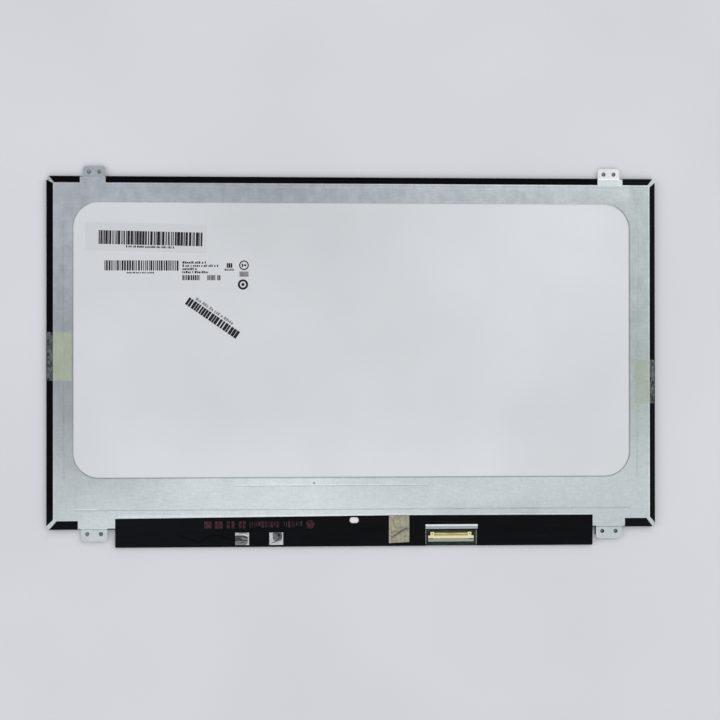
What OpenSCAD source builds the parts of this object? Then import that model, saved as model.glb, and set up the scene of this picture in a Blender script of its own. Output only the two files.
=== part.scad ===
// Slim laptop screen panel, 15.6 inch class, lying on its screen with the back up.
// X runs along the panel, Y from the board side to the top side, Z from screen to back.
// The origin lies under the middle of the whole panel, on the face of the screen.

/* [Outline] */
// Width of the body over its edge tapes
body_w = 359.5; // [300:0.5:420]
// Height of the body over its edge tapes
body_h = 207; // [175:0.5:260]
// How far the covered board reaches below the body
board_drop = 10.8; // [9.5:0.1:14]
// Outer radius of the back plate's corners
corner_r = 2; // [1:0.1:2.8]

/* [Layer thicknesses] */
// Front polarizer film
front_polarizer_t = 0.2; // [0.15:0.01:0.3]
// Colour filter glass
colour_glass_t = 0.5; // [0.4:0.05:0.7]
// Glass that carries the pixel transistors
tft_glass_t = 0.5; // [0.4:0.05:0.7]
// Rear polarizer film
rear_polarizer_t = 0.2; // [0.15:0.01:0.3]
// Black tape between the glass and the frame
rim_tape_t = 0.1; // [0.05:0.01:0.2]
// Each of the two prism sheets
prism_sheet_t = 0.12; // [0.08:0.01:0.2]
// Diffuser sheet
diffuser_t = 0.12; // [0.08:0.01:0.2]
// Light guide
guide_t = 0.6; // [0.5:0.05:1]
// White reflector sheet
reflector_t = 0.2; // [0.1:0.01:0.25]
// Air between the reflector and the back plate
plate_air = 0.04; // [0.02:0.01:0.1]
// Steel of the back plate
plate_t = 0.3; // [0.2:0.05:0.4]
// Black edge and cover tapes
tape_t = 0.1; // [0.05:0.01:0.12]

/* [Glass and sheets] */
// Distance from the body's side to the picture
picture_side = 7.65; // [7.2:0.05:12]
// Distance from the body's top to the picture
picture_head = 5.9; // [5.6:0.1:10]
// Distance from the body's bottom to the picture
picture_foot = 7.5; // [7.4:0.1:12]
// Border of the front polarizer round the picture
polarizer_border = 1.4; // [0.8:0.1:1.6]
// Border of the glass round the picture
glass_border = 3.5; // [2.8:0.1:3.9]
// Border of the glass above the picture
glass_border_top = 2.7; // [2:0.1:3]
// Border of the colour filter glass below the picture
glass_border_low = 2; // [1.6:0.1:2.6]
// Border of the transistor glass below the picture, with its bonding ledge
ledge_border = 5.6; // [5:0.1:5.8]
// Border of the backlight sheets round the picture
sheet_border = 1.7; // [1.3:0.1:1.9]
// Border of the backlight sheets above and below the picture
sheet_border_end = 1; // [0.6:0.1:1.2]
// Width of the locating tabs on the sheets
tab_w = 6; // [4:0.5:12]
// Length of the locating tabs on the sheets
tab_l = 1.2; // [0.6:0.1:1.4]
// Distance of the locating tabs from the middle, as a share of the body's width
tab_at = 0.334; // [0.2:0.002:0.4]

/* [Back plate] */
// Distance from the body's side to the window
window_side = 15.5; // [15.2:0.1:30]
// Distance from the body's top to the window
window_top = 15.2; // [12:0.1:30]
// Distance from the body's bottom to the window
window_low = 30.2; // [20:0.1:45]
// Corner radius of the window
window_r = 15; // [5:0.5:30]
// Outer radius of the plate's bends
bend_r = 0.5; // [0.4:0.05:0.55]
// Extra length of the plate where it covers the driver films
driver_lip = 0.9; // [0.4:0.1:1.2]
// Depth of the rolled lines in the rails
bead_depth = 0.05; // [0.03:0.01:0.1]
// Rolling radius of those lines
bead_r = 3; // [1:0.5:6]
// Width of the frame's hooks and of their slots
hook_w = 8; // [4:0.5:12]

/* [Ears] */
// Distance from the body's side to the middle of an ear
ear_in = 27.65; // [26:0.05:28.5]
// Width of the two upper ears
top_ear_w = 13; // [12:0.1:16]
// Length of the two upper ears
top_ear_l = 6; // [5:0.1:8]
// Distance between the holes of an upper ear
top_hole_pitch = 6; // [5:0.1:8]
// Width of the two lower ears
low_ear_w = 15.4; // [13:0.1:16]
// Length of the two lower ears
low_ear_l = 6.9; // [5:0.1:8]
// Distance between the holes of a lower ear
low_hole_pitch = 8; // [6:0.1:9]
// Radius of the screw holes
ear_hole_r = 1.25; // [0.8:0.05:1.5]
// Distance of the screw holes from the body's edge
ear_hole_in = 2.6; // [2.2:0.1:3.2]
// Corner radius of the ears
ear_corner_r = 2; // [0.5:0.1:2.5]
// Step down from the plate to the ears
ear_step = 0.9; // [0.75:0.05:1.2]
// Gap in the rim beside an ear, on the side of the panel's corner
ear_relief = 1.7; // [1:0.1:2.5]

/* [Tapes] */
// Rear width of the top edge tape
top_flap = 3.8; // [2.5:0.1:5]
// Rear width of the left edge tape
left_flap = 3.9; // [2.5:0.1:5]
// Rear width of the right edge tape
right_flap = 3.2; // [2.5:0.1:5]
// Rear width of the two lower corner flaps
low_flap = 5.1; // [2.5:0.1:6]
// Bare strip between the tapes at the upper left corner
mitre_strip_left = 0.5; // [0.4:0.1:2]
// Bare strip between the tapes at the upper right corner
mitre_strip_right = 1.2; // [0.5:0.1:2]
// Bare strip between the side tapes and the lower corners
mitre_strip_side = 0.8; // [0.4:0.1:2]
// Bare strip beside the two lower corner flaps
mitre_strip_low = 2.1; // [0.5:0.1:2.4]
// Distance from the body's left side to the board cover tape
cover_in_left = 39.95; // [37.6:0.05:50]
// Distance from the body's right side to the board cover tape
cover_in_right = 37.65; // [37.3:0.05:50]
// Overlap of the cover tape on the plate at its left end
cover_lap_left = 6.3; // [4:0.1:8]
// Overlap of the cover tape on the plate at the cover patch
cover_lap_mid = 7.6; // [7.2:0.1:9]
// Overlap of the cover tape on the plate at its right end
cover_lap_right = 7.3; // [4:0.1:8]
// Return of the cover tape under the board
cover_return = 3; // [1:0.1:4]
// Thin side tapes, cover patch, foil pads and labels
thin_t = 0.06; // [0.03:0.01:0.08]
// Width of the large label
large_label_w = 70.7; // [30:0.1:80]
// Height of the large label
large_label_h = 16.4; // [8:0.1:17]
// Width of the middle label
middle_label_w = 89.6; // [30:0.1:110]
// Height of the middle label
middle_label_h = 19.8; // [8:0.1:20]
// Width of the slanted label
slanted_label_w = 34.6; // [15:0.1:40]
// Height of the slanted label
slanted_label_h = 8.6; // [4:0.1:9]
// Width of a foil pad
foil_w = 8.1; // [5:0.1:12]
// Length of a side tape along the edge
side_tape_l = 28.6; // [15:0.1:50]
// Reach of the left side tape over the plate
left_reach = 14.75; // [8:0.05:15]
// Reach of the right side tape over the plate
right_reach = 12.65; // [8:0.05:15]

/* [Control board] */
// Thickness of the control board
board_t = 0.8; // [0.6:0.05:1]
// Height of the tallest pieces on the board
part_t = 1.1; // [0.9:0.05:1.2]
// Thickness of a driver film
film_t = 0.1; // [0.05:0.01:0.15]
// Width of a driver film
film_w = 37; // [28:0.5:44]
// Thickness of a driver chip
chip_t = 0.35; // [0.2:0.05:0.38]
// Width of a driver chip
chip_w = 24; // [14:0.5:27]
// Distance of the cable socket from the middle, as a share of the body's width
socket_at = 0.1602; // [0.15:0.0002:0.184]
// Number of contacts in the cable socket
contacts = 40; // [20:2:44]
// Distance between contacts
contact_pitch = 0.5; // [0.4:0.05:0.5]
// Width of the backlight's tail
tail_w = 8; // [5:0.1:10]
// Distance of the backlight's tail from the middle, as a share of the body's width
tail_at = 0.0745; // [0.056:0.0005:0.083]

/* [Light bar] */
// Number of light-emitting packages
leds = 48; // [24:1:54]
// Length of a package
led_l = 3.2; // [2:0.1:4]
// Depth of a package towards the light guide
led_d = 0.8; // [0.5:0.05:1]
// Thickness of the light bar's film
strip_t = 0.15; // [0.08:0.01:0.2]
// Width of the light bar's film
strip_h = 3.3; // [2.8:0.1:3.4]

/* [Hidden] */

$fn = 48;
// Overshoot of a cut past the face it opens
cut = 1;
// Running clearance between pieces that slide into each other
slack = 0.05;
// Clearance round the glass and the sheets in the frame
glass_room = 0.3;
// Gap between the backlight's pieces, end to end
end_gap = 0.1;

// Heights of the layers above the face of the screen
z_glass = front_polarizer_t;
z_tft = z_glass + colour_glass_t;
z_rear_polarizer = z_tft + tft_glass_t;
z_rim = z_rear_polarizer + rear_polarizer_t;
z_upper_prism = z_rim + rim_tape_t;
z_lower_prism = z_upper_prism + prism_sheet_t;
z_diffuser = z_lower_prism + prism_sheet_t;
z_guide = z_diffuser + diffuser_t;
z_reflector = z_guide + guide_t;
z_label = z_reflector + reflector_t;
z_plate = z_label + plate_air;
z_back = z_plate + plate_t;
z_front_tape = z_glass - tape_t;

// Edges of the body over its tapes, and of the plate under them
half_w = body_w / 2;
y_top = (body_h - top_ear_l + board_drop) / 2;
y_low = y_top - body_h;
y_end = y_low - board_drop;
y_mid = (y_top + y_low) / 2;
plate_x = half_w - tape_t;
plate_top = y_top - tape_t;
plate_low = -y_low - tape_t;
// Inner radius of the plate's bends
sheet_in = bend_r - plate_t;

// Picture, glass, polarizers and backlight sheets
picture_x = half_w - picture_side;
picture_top = y_top - picture_head;
picture_low = y_low + picture_foot;
glass_x = picture_x + glass_border;
glass_top = picture_top + glass_border_top;
glass_low = picture_low - glass_border_low;
ledge_low = picture_low - ledge_border;
polarizer_x = picture_x + polarizer_border;
polarizer_top = picture_top + polarizer_border;
polarizer_low = picture_low - sheet_border_end;
// The rear polarizer stops this far inside the glass
rear_polarizer_in = 0.4;
sheet_x = picture_x + sheet_border;
sheet_top = picture_top + sheet_border_end;
sheet_low = picture_low - sheet_border_end;
rim_tape_in = 0.8;
// Front flaps of the black tapes stop this far from the front polarizer
front_gap = 0.4;
front_tape_x = polarizer_x + front_gap;
front_tape_top = polarizer_top + front_gap;
front_tape_low = polarizer_low - front_gap;
// Bare length of the body's edges at a corner, beside a side tape and an upper or lower one
side_bare = corner_r + 0.2;
end_bare = corner_r - 0.5;
// Height at which the corner cuts change from the front flaps to the rear ones
z_split = z_glass + slack;

// Frame: pockets for the glass and for the backlight
glass_pocket_x = glass_x + glass_room;
glass_pocket_top = glass_top + glass_room;
glass_pocket_low = ledge_low - glass_room;
light_pocket_x = sheet_x + glass_room;
light_pocket_top = sheet_top + glass_room;
strip_top = sheet_low - end_gap;
strip_low = strip_top - strip_h;
light_pocket_low = strip_low - glass_room;
tab_x = tab_at * body_w;
tab_y = sheet_top + tab_l;

// Window of the back plate
win_x = half_w - window_side;
win_top = y_top - window_top;
win_low = y_low + window_low;

// Driver zone, where the films leave the body under the cover tape
zone_in = 0.8;
cover_left = half_w - cover_in_left;
cover_right = half_w - cover_in_right;
zone_left = cover_left - zone_in;
zone_right = cover_right - zone_in;
zone_low = plate_low + driver_lip;
z_film = z_tft - film_t;
film_room = 0.05;
z_frame_drive = z_tft + film_room;
z_plate_drive = z_frame_drive + film_room;
tail_room = 0.5;

// Control board
board_low = y_end + tape_t;
board_gap = 0.5;
board_top = -zone_low - board_gap;
board_in = 1.3;
board_left = cover_left - board_in;
board_right = cover_right - board_in;
z_board = z_tft;
z_parts = z_board + board_t;
z_cover = z_parts + part_t + slack;
parts_y = (board_top + board_low) / 2;
foil_left_x = -0.18275 * body_w;
foil_right_x = -0.127 * body_w;
timing_x = -0.039 * body_w;
power_x = -0.078 * body_w;
backlight_x = 0.0334 * body_w;
memory_x = (foil_left_x + foil_right_x) / 2;
ground_x = [for (share = [-0.3157, -0.2656, 0.2684, 0.3241]) share * body_w];
socket_x = socket_at * body_w;
tail_x = tail_at * body_w;
// End of the light bar's tail inside its socket
tail_stop = parts_y + 0.5;
tail_rise = 0.45;
z_tail = z_parts + tail_rise;
// Rows of small pieces along the upper and lower edges of the board
row_in = 1.3;
row_up = board_top - row_in;
row_down = board_low + row_in;

// Driver films and chips
film_pitch = (zone_left + zone_right) / 4;
zone_x = (zone_right - zone_left) / 2;
film_up = ledge_low + 2;
film_low = board_top - 2.4;
chip_y = (ledge_low + board_top) / 2;
chip_h = 1.3;

// Ears
ear_drop = ear_step - bend_r - sheet_in;
ear_x = half_w - ear_in;
z_ear = z_plate - ear_step;
ear_relief_in = 0.3;

// Hooks of the frame in the rim of the plate
hook_side_y = [for (share = [-0.3, 0, 0.3]) y_mid + share * body_h];
hook_top_x = [for (share = [-0.28, 0, 0.28]) share * body_w];
hook_h = 0.9;
z_hook = z_rim - hook_h / 2;

// Cover tape: it drops from the plate to the pieces on the board, then wraps the board
cover_edge = -zone_low - 0.2;
cover_step = cover_edge - 1.1;
cover_brow = board_low + 1;
cover_kink = tail_x;
cover_brow_z = z_parts + 0.1;
cover_sole = z_film - tape_t;
cover_top_left = y_low + cover_lap_left;
cover_top_mid = y_low + cover_lap_mid;
cover_top_right = y_low + cover_lap_right;

// Window in the cover tape for the cable socket, and the slot over the light bar
row_w = (contacts - 1) * contact_pitch;
socket_w = row_w + 7.5;
socket_window_w = socket_w + 4;
socket_window_x = socket_x + 0.35;
socket_window_up = 2;
slot_w = 5.4;
slot_h = 3.4;
slot_rim = 0.4;
slot_x = 0.2;
slot_y = (strip_top + strip_low) / 2;

// Cable socket: places along the plug's way, from its mouth to its solder tails
socket_mouth = -zone_low - 7.4;
socket_back = socket_mouth + 4.9;
bar_front = socket_mouth + 1.9;
bar_back = bar_front + 1.6;
lug_w = 2.1;
lug_l = 2.1;
lug_in = 1.4;
lug_hole_r = 0.45;
tongue_t = 0.35;
shell_t = 0.12;
contact_w = 0.2;
contact_t = 0.08;
z_tongue = z_parts + 0.25;

// Side tapes, patch, foil pads and labels
left_tape_y = y_mid - 0.01 * body_h;
right_tape_y = y_mid - 0.083 * body_h;
patch_w = 12;
large_label_in = 42.45;
large_label_down = 20.6;
middle_label_in = 58.25;
middle_label_down = 41.5;
slanted_label_in = 81.05;
slanted_label_down = 67.1;
patch_low = board_low + 1.8;
foil_margin = 0.15;
foil_low = cover_brow + foil_margin;
foil_up = cover_step - foil_margin;

// Boxes and sheets
module box(x0, x1, y0, y1, z0, z1) {
    translate([x0, y0, z0]) cube([x1 - x0, y1 - y0, z1 - z0]);
}

// A profile of Y and Z, drawn out along X
module along_x(x0, x1) {
    translate([x0, 0, 0]) rotate([90, 0, 90]) linear_extrude(x1 - x0) children();
}

// A profile of X and Z, drawn out along Y
module along_y(y0, y1) {
    translate([0, y1, 0]) rotate([90, 0, 0]) linear_extrude(y1 - y0) children();
}

// A flat outline, from z0 to z1
module flat(z0, z1) {
    translate([0, 0, z0]) linear_extrude(z1 - z0) children();
}

module round_rect(x0, x1, y0, y1, r) {
    translate([x0 + r, y0]) square([x1 - x0 - 2 * r, y1 - y0]);
    translate([x0, y0 + r]) square([x1 - x0, y1 - y0 - 2 * r]);
    for (x = [x0 + r, x1 - r], y = [y0 + r, y1 - r]) translate([x, y]) circle(r);
}

module quarter_ring(r_out, r_in) {
    intersection() {
        difference() {
            circle(r_out);
            circle(r_in);
        }
        square(r_out);
    }
}

module both_sides() {
    children();
    mirror([1, 0, 0]) children();
}

// Points of a strip that follows a line, t thick towards +Z
function strip(line, t) = concat(line, [for (i = [len(line) - 1 : -1 : 0]) line[i] + [0, t]]);

// Outline of a centred backlight sheet with its locating tabs at the top
module sheet_outline(low) {
    translate([-sheet_x, low]) square([2 * sheet_x, sheet_top - low]);
    for (x = [-tab_x, tab_x]) translate([x - tab_w / 2, sheet_top - cut]) square([tab_w, tab_l + cut]);
}

// Liquid crystal cell

module front_polarizer() {
    color([0.1, 0.1, 0.12]) box(-polarizer_x, polarizer_x, polarizer_low, polarizer_top, 0, z_glass);
}

module colour_glass() {
    color([0.35, 0.38, 0.42]) box(-glass_x, glass_x, glass_low, glass_top, z_glass, z_tft);
}

module tft_glass() {
    color([0.55, 0.62, 0.64]) box(-glass_x, glass_x, ledge_low, glass_top, z_tft, z_rear_polarizer);
}

module rear_polarizer() {
    x = glass_x - rear_polarizer_in;
    color([0.2, 0.2, 0.22])
        box(-x, x, ledge_low + rear_polarizer_in, glass_top - rear_polarizer_in, z_rear_polarizer, z_rim);
}

// Backlight

module rim_tape() {
    x = glass_x - rear_polarizer_in;
    inner_x = picture_x + rim_tape_in;
    color([0.08, 0.08, 0.08]) difference() {
        box(-x, x, ledge_low + rear_polarizer_in, glass_top - rear_polarizer_in, z_rim, z_upper_prism);
        box(-inner_x, inner_x, picture_low - rim_tape_in, picture_top + rim_tape_in,
            z_rim - cut, z_upper_prism + cut);
    }
}

module upper_prism_sheet() {
    color([0.85, 0.88, 0.9]) flat(z_upper_prism, z_lower_prism) sheet_outline(sheet_low);
}

module lower_prism_sheet() {
    color([0.8, 0.84, 0.87]) flat(z_lower_prism, z_diffuser) sheet_outline(sheet_low);
}

module diffuser_sheet() {
    color([0.93, 0.94, 0.95]) flat(z_diffuser, z_guide) sheet_outline(sheet_low);
}

module light_guide() {
    color([0.8, 0.9, 0.92]) flat(z_guide, z_reflector) sheet_outline(sheet_low);
}

module reflector_sheet() {
    color([0.94, 0.95, 0.95]) flat(z_reflector, z_label) sheet_outline(sheet_low);
}

// The light bar's film lies on the plate; its tail drops to a socket on the board
module light_bar() {
    z_strip = z_plate - strip_t;
    tail_line = [
        [strip_low + slack, z_strip],
        [cover_edge, z_strip],
        [tail_stop + 2.2, z_tail],
        [tail_stop, z_tail]
    ];
    color([0.95, 0.95, 0.92]) {
        box(-sheet_x, sheet_x, strip_low, strip_top, z_strip, z_plate);
        along_x(tail_x - tail_w / 2, tail_x + tail_w / 2) polygon(strip(tail_line, strip_t));
    }
}

// Light-emitting packages with the well of their lens open towards the guide
module light_emitters() {
    pitch = 2 * sheet_x / leds;
    well = 0.1;
    rim = 0.12;
    h = min(guide_t, z_plate - strip_t - z_guide);
    z1 = z_plate - strip_t;
    color([0.98, 0.96, 0.8]) for (i = [0 : leds - 1]) {
        x = -sheet_x + (i + 0.5) * pitch;
        difference() {
            box(x - led_l / 2, x + led_l / 2, strip_top - led_d, strip_top, z1 - h, z1);
            box(x - led_l / 2 + 2 * rim, x + led_l / 2 - 2 * rim,
                strip_top - well, strip_top + cut, z1 - h + rim, z1 - rim);
        }
    }
}

// Moulded frame: an outer wall round the glass and a ledge behind it
module mid_frame() {
    out_x = plate_x - plate_t - slack;
    out_top = plate_top - plate_t - slack;
    out_low = plate_low - plate_t - slack;
    drive_low = zone_low - plate_t - slack;
    r = corner_r - plate_t - slack;
    color([0.93, 0.93, 0.92]) difference() {
        union() {
            // The outer wall steps in where it meets the bends of the plate
            flat(z_glass, z_plate - sheet_in) round_rect(-out_x, out_x, -out_low, out_top, r);
            flat(z_plate - sheet_in, z_plate) round_rect(-out_x + sheet_in, out_x - sheet_in,
                -out_low + sheet_in, out_top - sheet_in, r - sheet_in);
            box(-zone_left + slack, zone_right - slack, -drive_low, -out_low + cut,
                z_frame_drive, z_plate - sheet_in);
            box(-zone_left + slack, zone_right - slack, -drive_low + sheet_in, -out_low + cut,
                z_plate - sheet_in, z_plate);
            frame_hooks(out_x, out_top);
        }
        // Pocket for the glass
        box(-glass_pocket_x, glass_pocket_x, glass_pocket_low, glass_pocket_top,
            z_glass - cut, z_upper_prism);
        // Pocket for the backlight
        box(-light_pocket_x, light_pocket_x, light_pocket_low, light_pocket_top,
            z_glass - cut, z_plate + cut);
        // Notches for the tabs of the sheets
        both_sides() box(tab_x - tab_w / 2 - glass_room, tab_x + tab_w / 2 + glass_room,
            light_pocket_top - cut, tab_y + glass_room, z_upper_prism - cut, z_plate + cut);
        // Way out for the driver films
        box(-zone_left, zone_right, -zone_low - cut, light_pocket_low + slack,
            z_glass - cut, z_frame_drive);
        // Way out for the light bar's tail
        box(tail_x - tail_w / 2 - tail_room, tail_x + tail_w / 2 + tail_room,
            -zone_low - cut, light_pocket_low + cut, z_plate - strip_t - slack, z_plate + cut);
    }
}

// Wedge hooks that snap into the slots of the plate's rim
module frame_hooks(out_x, out_top) {
    reach = plate_t;
    wedge = [[0, 0], [reach, 0.3], [reach, hook_h], [0, hook_h]];
    both_sides() for (y = hook_side_y) {
        along_y(y - hook_w / 2, y + hook_w / 2) translate([out_x, z_hook]) polygon(wedge);
    }
    for (x = hook_top_x) {
        along_x(x - hook_w / 2, x + hook_w / 2) translate([out_top, z_hook]) polygon(wedge);
    }
}

// Back plate

// Section of the rim: a bend and a wall that ends at z_end
module rim_section(out, z_end) {
    translate([out - bend_r, z_back - bend_r]) quarter_ring(bend_r, sheet_in);
    translate([out - plate_t, z_end]) square([plate_t, z_back - bend_r - z_end]);
}

// Section of an ear: down at the body's edge, then out
module ear_section(out, length) {
    z_bend = z_back - bend_r;
    translate([out - bend_r, z_bend]) quarter_ring(bend_r, sheet_in);
    translate([out - plate_t, z_bend - ear_drop]) square([plate_t, ear_drop]);
    translate([out + sheet_in, z_bend - ear_drop]) rotate(180) quarter_ring(bend_r, sheet_in);
    translate([out + sheet_in, z_ear]) square([length - sheet_in, plate_t]);
}

module ear(out, w, length, pitch) {
    intersection() {
        difference() {
            along_x(-w / 2, w / 2) ear_section(out, length);
            for (s = [-1, 1]) {
                translate([s * pitch / 2, out + tape_t + ear_hole_in, z_ear - cut])
                    cylinder(r = ear_hole_r, h = plate_t + 2 * cut);
            }
        }
        flat(z_ear - cut, z_back + cut) union() {
            round_rect(-w / 2, w / 2, out - bend_r, out + length, ear_corner_r);
            translate([-w / 2, out - bend_r]) square([w, ear_corner_r + bend_r]);
        }
    }
}

module rim_corner(out_x, out_y) {
    translate([out_x - corner_r, out_y - corner_r, 0])
        rotate_extrude(angle = 90) rim_section(corner_r, z_glass);
}

module rim_walls() {
    low_ear_out = ear_x + low_ear_w / 2 + ear_relief;
    both_sides() {
        along_y(-plate_low + corner_r, plate_top - corner_r) rim_section(plate_x, z_glass);
        along_x(ear_x + top_ear_w / 2 + ear_relief, plate_x - corner_r)
            rim_section(plate_top, z_glass);
        mirror([0, 1, 0]) along_x(low_ear_out, plate_x - corner_r) rim_section(plate_low, z_glass);
        rim_corner(plate_x, plate_top);
        mirror([0, 1, 0]) rim_corner(plate_x, plate_low);
    }
    inner = ear_x - top_ear_w / 2 - ear_relief_in;
    along_x(-inner, inner) rim_section(plate_top, z_glass);
    mirror([0, 1, 0]) along_x(-zone_left, zone_right) rim_section(zone_low, z_plate_drive);
}

module plate_outline() {
    round_rect(-plate_x + bend_r, plate_x - bend_r, -plate_low + bend_r, plate_top - bend_r,
        corner_r - bend_r);
    translate([-zone_left, -zone_low + bend_r]) square([zone_left + zone_right, driver_lip + cut]);
}

module obround(w, h) {
    square([w - h, h], center = true);
    for (s = [-1, 1]) translate([s * (w - h) / 2, 0]) circle(h / 2);
}

// Shallow rolled line that dips bead_depth into the back of a rail
module bead_x(x0, x1, y) {
    translate([x0, y, z_back + bead_r - bead_depth]) rotate([0, 90, 0]) cylinder(r = bead_r, h = x1 - x0);
}

module bead_y(y0, y1, x) {
    translate([x, y1, z_back + bead_r - bead_depth]) rotate([90, 0, 0]) cylinder(r = bead_r, h = y1 - y0);
}

module back_plate() {
    color([0.72, 0.75, 0.76]) difference() {
        union() {
            flat(z_plate, z_back) difference() {
                plate_outline();
                round_rect(-win_x, win_x, win_low, win_top, window_r);
                translate([slot_x, slot_y]) obround(slot_w - 2 * slot_rim, slot_h - 2 * slot_rim);
            }
            rim_walls();
            for (s = [-1, 1]) {
                translate([s * ear_x, 0, 0]) ear(plate_top, top_ear_w, top_ear_l + tape_t, top_hole_pitch);
                translate([s * ear_x, 0, 0]) mirror([0, 1, 0])
                    ear(plate_low, low_ear_w, low_ear_l + tape_t, low_hole_pitch);
            }
        }
        hook_slots();
        // Notch for the light bar's tail
        box(tail_x - tail_w / 2 - tail_room, tail_x + tail_w / 2 + tail_room,
            -zone_low - cut, -zone_low + bend_r, z_glass, z_back + cut);
        // Rolled lines along the rails
        bead_x(-win_x, win_x, win_low - 0.62 * window_low);
        bead_x(-0.43 * win_x, 0.27 * win_x, win_low - 0.16 * window_low);
        bead_x(-0.61 * win_x, win_x, win_top + 0.58 * window_top);
        bead_y(win_low, win_top - window_r, -win_x - 0.35 * window_side);
        bead_y(win_low, win_top - window_r, win_x + 0.32 * window_side);
    }
}

module hook_slots() {
    w = hook_w + 2 * slack;
    both_sides() for (y = hook_side_y) {
        box(plate_x - plate_t - cut, plate_x + cut, y - w / 2, y + w / 2,
            z_hook - slack, z_hook + hook_h + slack);
    }
    for (x = hook_top_x) {
        box(x - w / 2, x + w / 2, plate_top - plate_t - cut, plate_top + cut,
            z_hook - slack, z_hook + hook_h + slack);
    }
}

// Tapes

// Section of an edge tape: rear flap, bend, wall and front flap
module tape_section(out, flap, front_in) {
    p = out - tape_t;
    translate([out - flap, z_back]) square([flap - tape_t - bend_r, tape_t]);
    translate([p - bend_r, z_back - bend_r]) quarter_ring(bend_r + tape_t, bend_r);
    translate([p, z_front_tape]) square([tape_t, z_back - bend_r - z_front_tape]);
    translate([front_in, z_front_tape]) square([out - front_in, tape_t]);
}

// What a side tape leaves free at a corner at x, y: all past a line from the body's edge
// through the place where its inner edge meets that of the next tape
module past_side(x, y, inner_x, inner_y, gap) {
    slope = (y - side_bare - inner_y + gap) / (x - inner_x);
    far_x = inner_x - cut;
    polygon([
        [x + cut, y + cut], [far_x, y + cut], [far_x, inner_y - gap - slope * cut],
        [x + cut, y - side_bare + slope * cut]
    ]);
}

// What an upper or lower tape leaves free there
module past_end(x, y, inner_x, inner_y, gap) {
    slope = (x - end_bare - inner_x + gap) / (y - inner_y);
    far_y = inner_y - cut;
    polygon([
        [x + cut, y + cut], [x - end_bare + slope * cut, y + cut],
        [inner_x - gap - slope * cut, far_y], [x + cut, far_y]
    ]);
}

// Corner cuts of a side tape with rear flap side_flap, beside an upper or lower tape
module side_cuts(y, side_flap, flap, front_y, strip_w) {
    flat(z_split, z_back + tape_t + cut)
        past_side(half_w, y, half_w - side_flap, y - flap, strip_w);
    flat(z_front_tape - cut, z_split + slack)
        past_side(half_w, y, front_tape_x, front_y, front_gap);
}

// Corner cuts of an upper or lower tape beside the side tape with rear flap side_flap
module end_cuts(y, side_flap, flap, front_y, strip_w) {
    flat(z_split, z_back + tape_t + cut)
        past_end(half_w, y, half_w - side_flap, y - flap, strip_w);
    flat(z_front_tape - cut, z_split + slack)
        past_end(half_w, y, front_tape_x, front_y, front_gap);
}

module both_end_cuts(y, flap, front_y, strip_left, strip_right) {
    end_cuts(y, right_flap, flap, front_y, strip_right);
    mirror([1, 0, 0]) end_cuts(y, left_flap, flap, front_y, strip_left);
}

module edge_tape_top() {
    out = ear_x + top_ear_w / 2 + ear_relief;
    inner = ear_x - top_ear_w / 2 - ear_relief_in;
    color([0.06, 0.06, 0.07]) difference() {
        along_x(-half_w, half_w) tape_section(y_top, top_flap, front_tape_top);
        both_end_cuts(y_top, top_flap, front_tape_top, mitre_strip_left, mitre_strip_right);
        both_sides() box(inner, out, y_top - top_flap - cut, y_top + cut, z_glass, z_back + tape_t + cut);
    }
}

module side_tape_wrap(flap, top_strip) {
    color([0.06, 0.06, 0.07]) difference() {
        along_y(y_low, y_top) tape_section(half_w, flap, front_tape_x);
        side_cuts(y_top, flap, top_flap, front_tape_top, top_strip);
        mirror([0, 1, 0]) side_cuts(-y_low, flap, low_flap, -front_tape_low, mitre_strip_side);
    }
}

module edge_tape_right() {
    side_tape_wrap(right_flap, mitre_strip_right);
}

module edge_tape_left() {
    mirror([1, 0, 0]) side_tape_wrap(left_flap, mitre_strip_left);
}

// Tape over the driver films on the screen side, with a flap folded over each lower corner
// and a narrow hem over the edge between each lower ear and the cover tape
module driver_tape() {
    cover_line = [
        [front_tape_low, z_front_tape],
        [film_low + 1.8, z_front_tape],
        [film_low - 0.6, cover_sole],
        [board_low, cover_sole]
    ];
    low_ear_out = ear_x + low_ear_w / 2 + ear_relief;
    low_ear_in = ear_x - low_ear_w / 2 - ear_relief_in;
    hem = bend_r + tape_t + slack;
    color([0.07, 0.07, 0.08]) difference() {
        union() {
            along_x(-cover_left, cover_right) polygon(strip(cover_line, tape_t));
            box(-half_w, half_w, y_low - slack, front_tape_low, z_front_tape, z_glass);
            both_sides() mirror([0, 1, 0])
                along_x(low_ear_out, half_w) tape_section(-y_low, low_flap, -front_tape_low);
            for (x = [[-low_ear_in, -cover_left - slack], [cover_right + slack, low_ear_in]]) {
                mirror([0, 1, 0]) along_x(x[0], x[1]) tape_section(-y_low, hem, -front_tape_low);
            }
        }
        mirror([0, 1, 0])
            both_end_cuts(-y_low, low_flap, -front_tape_low, mitre_strip_low, mitre_strip_low);
    }
}

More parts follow.
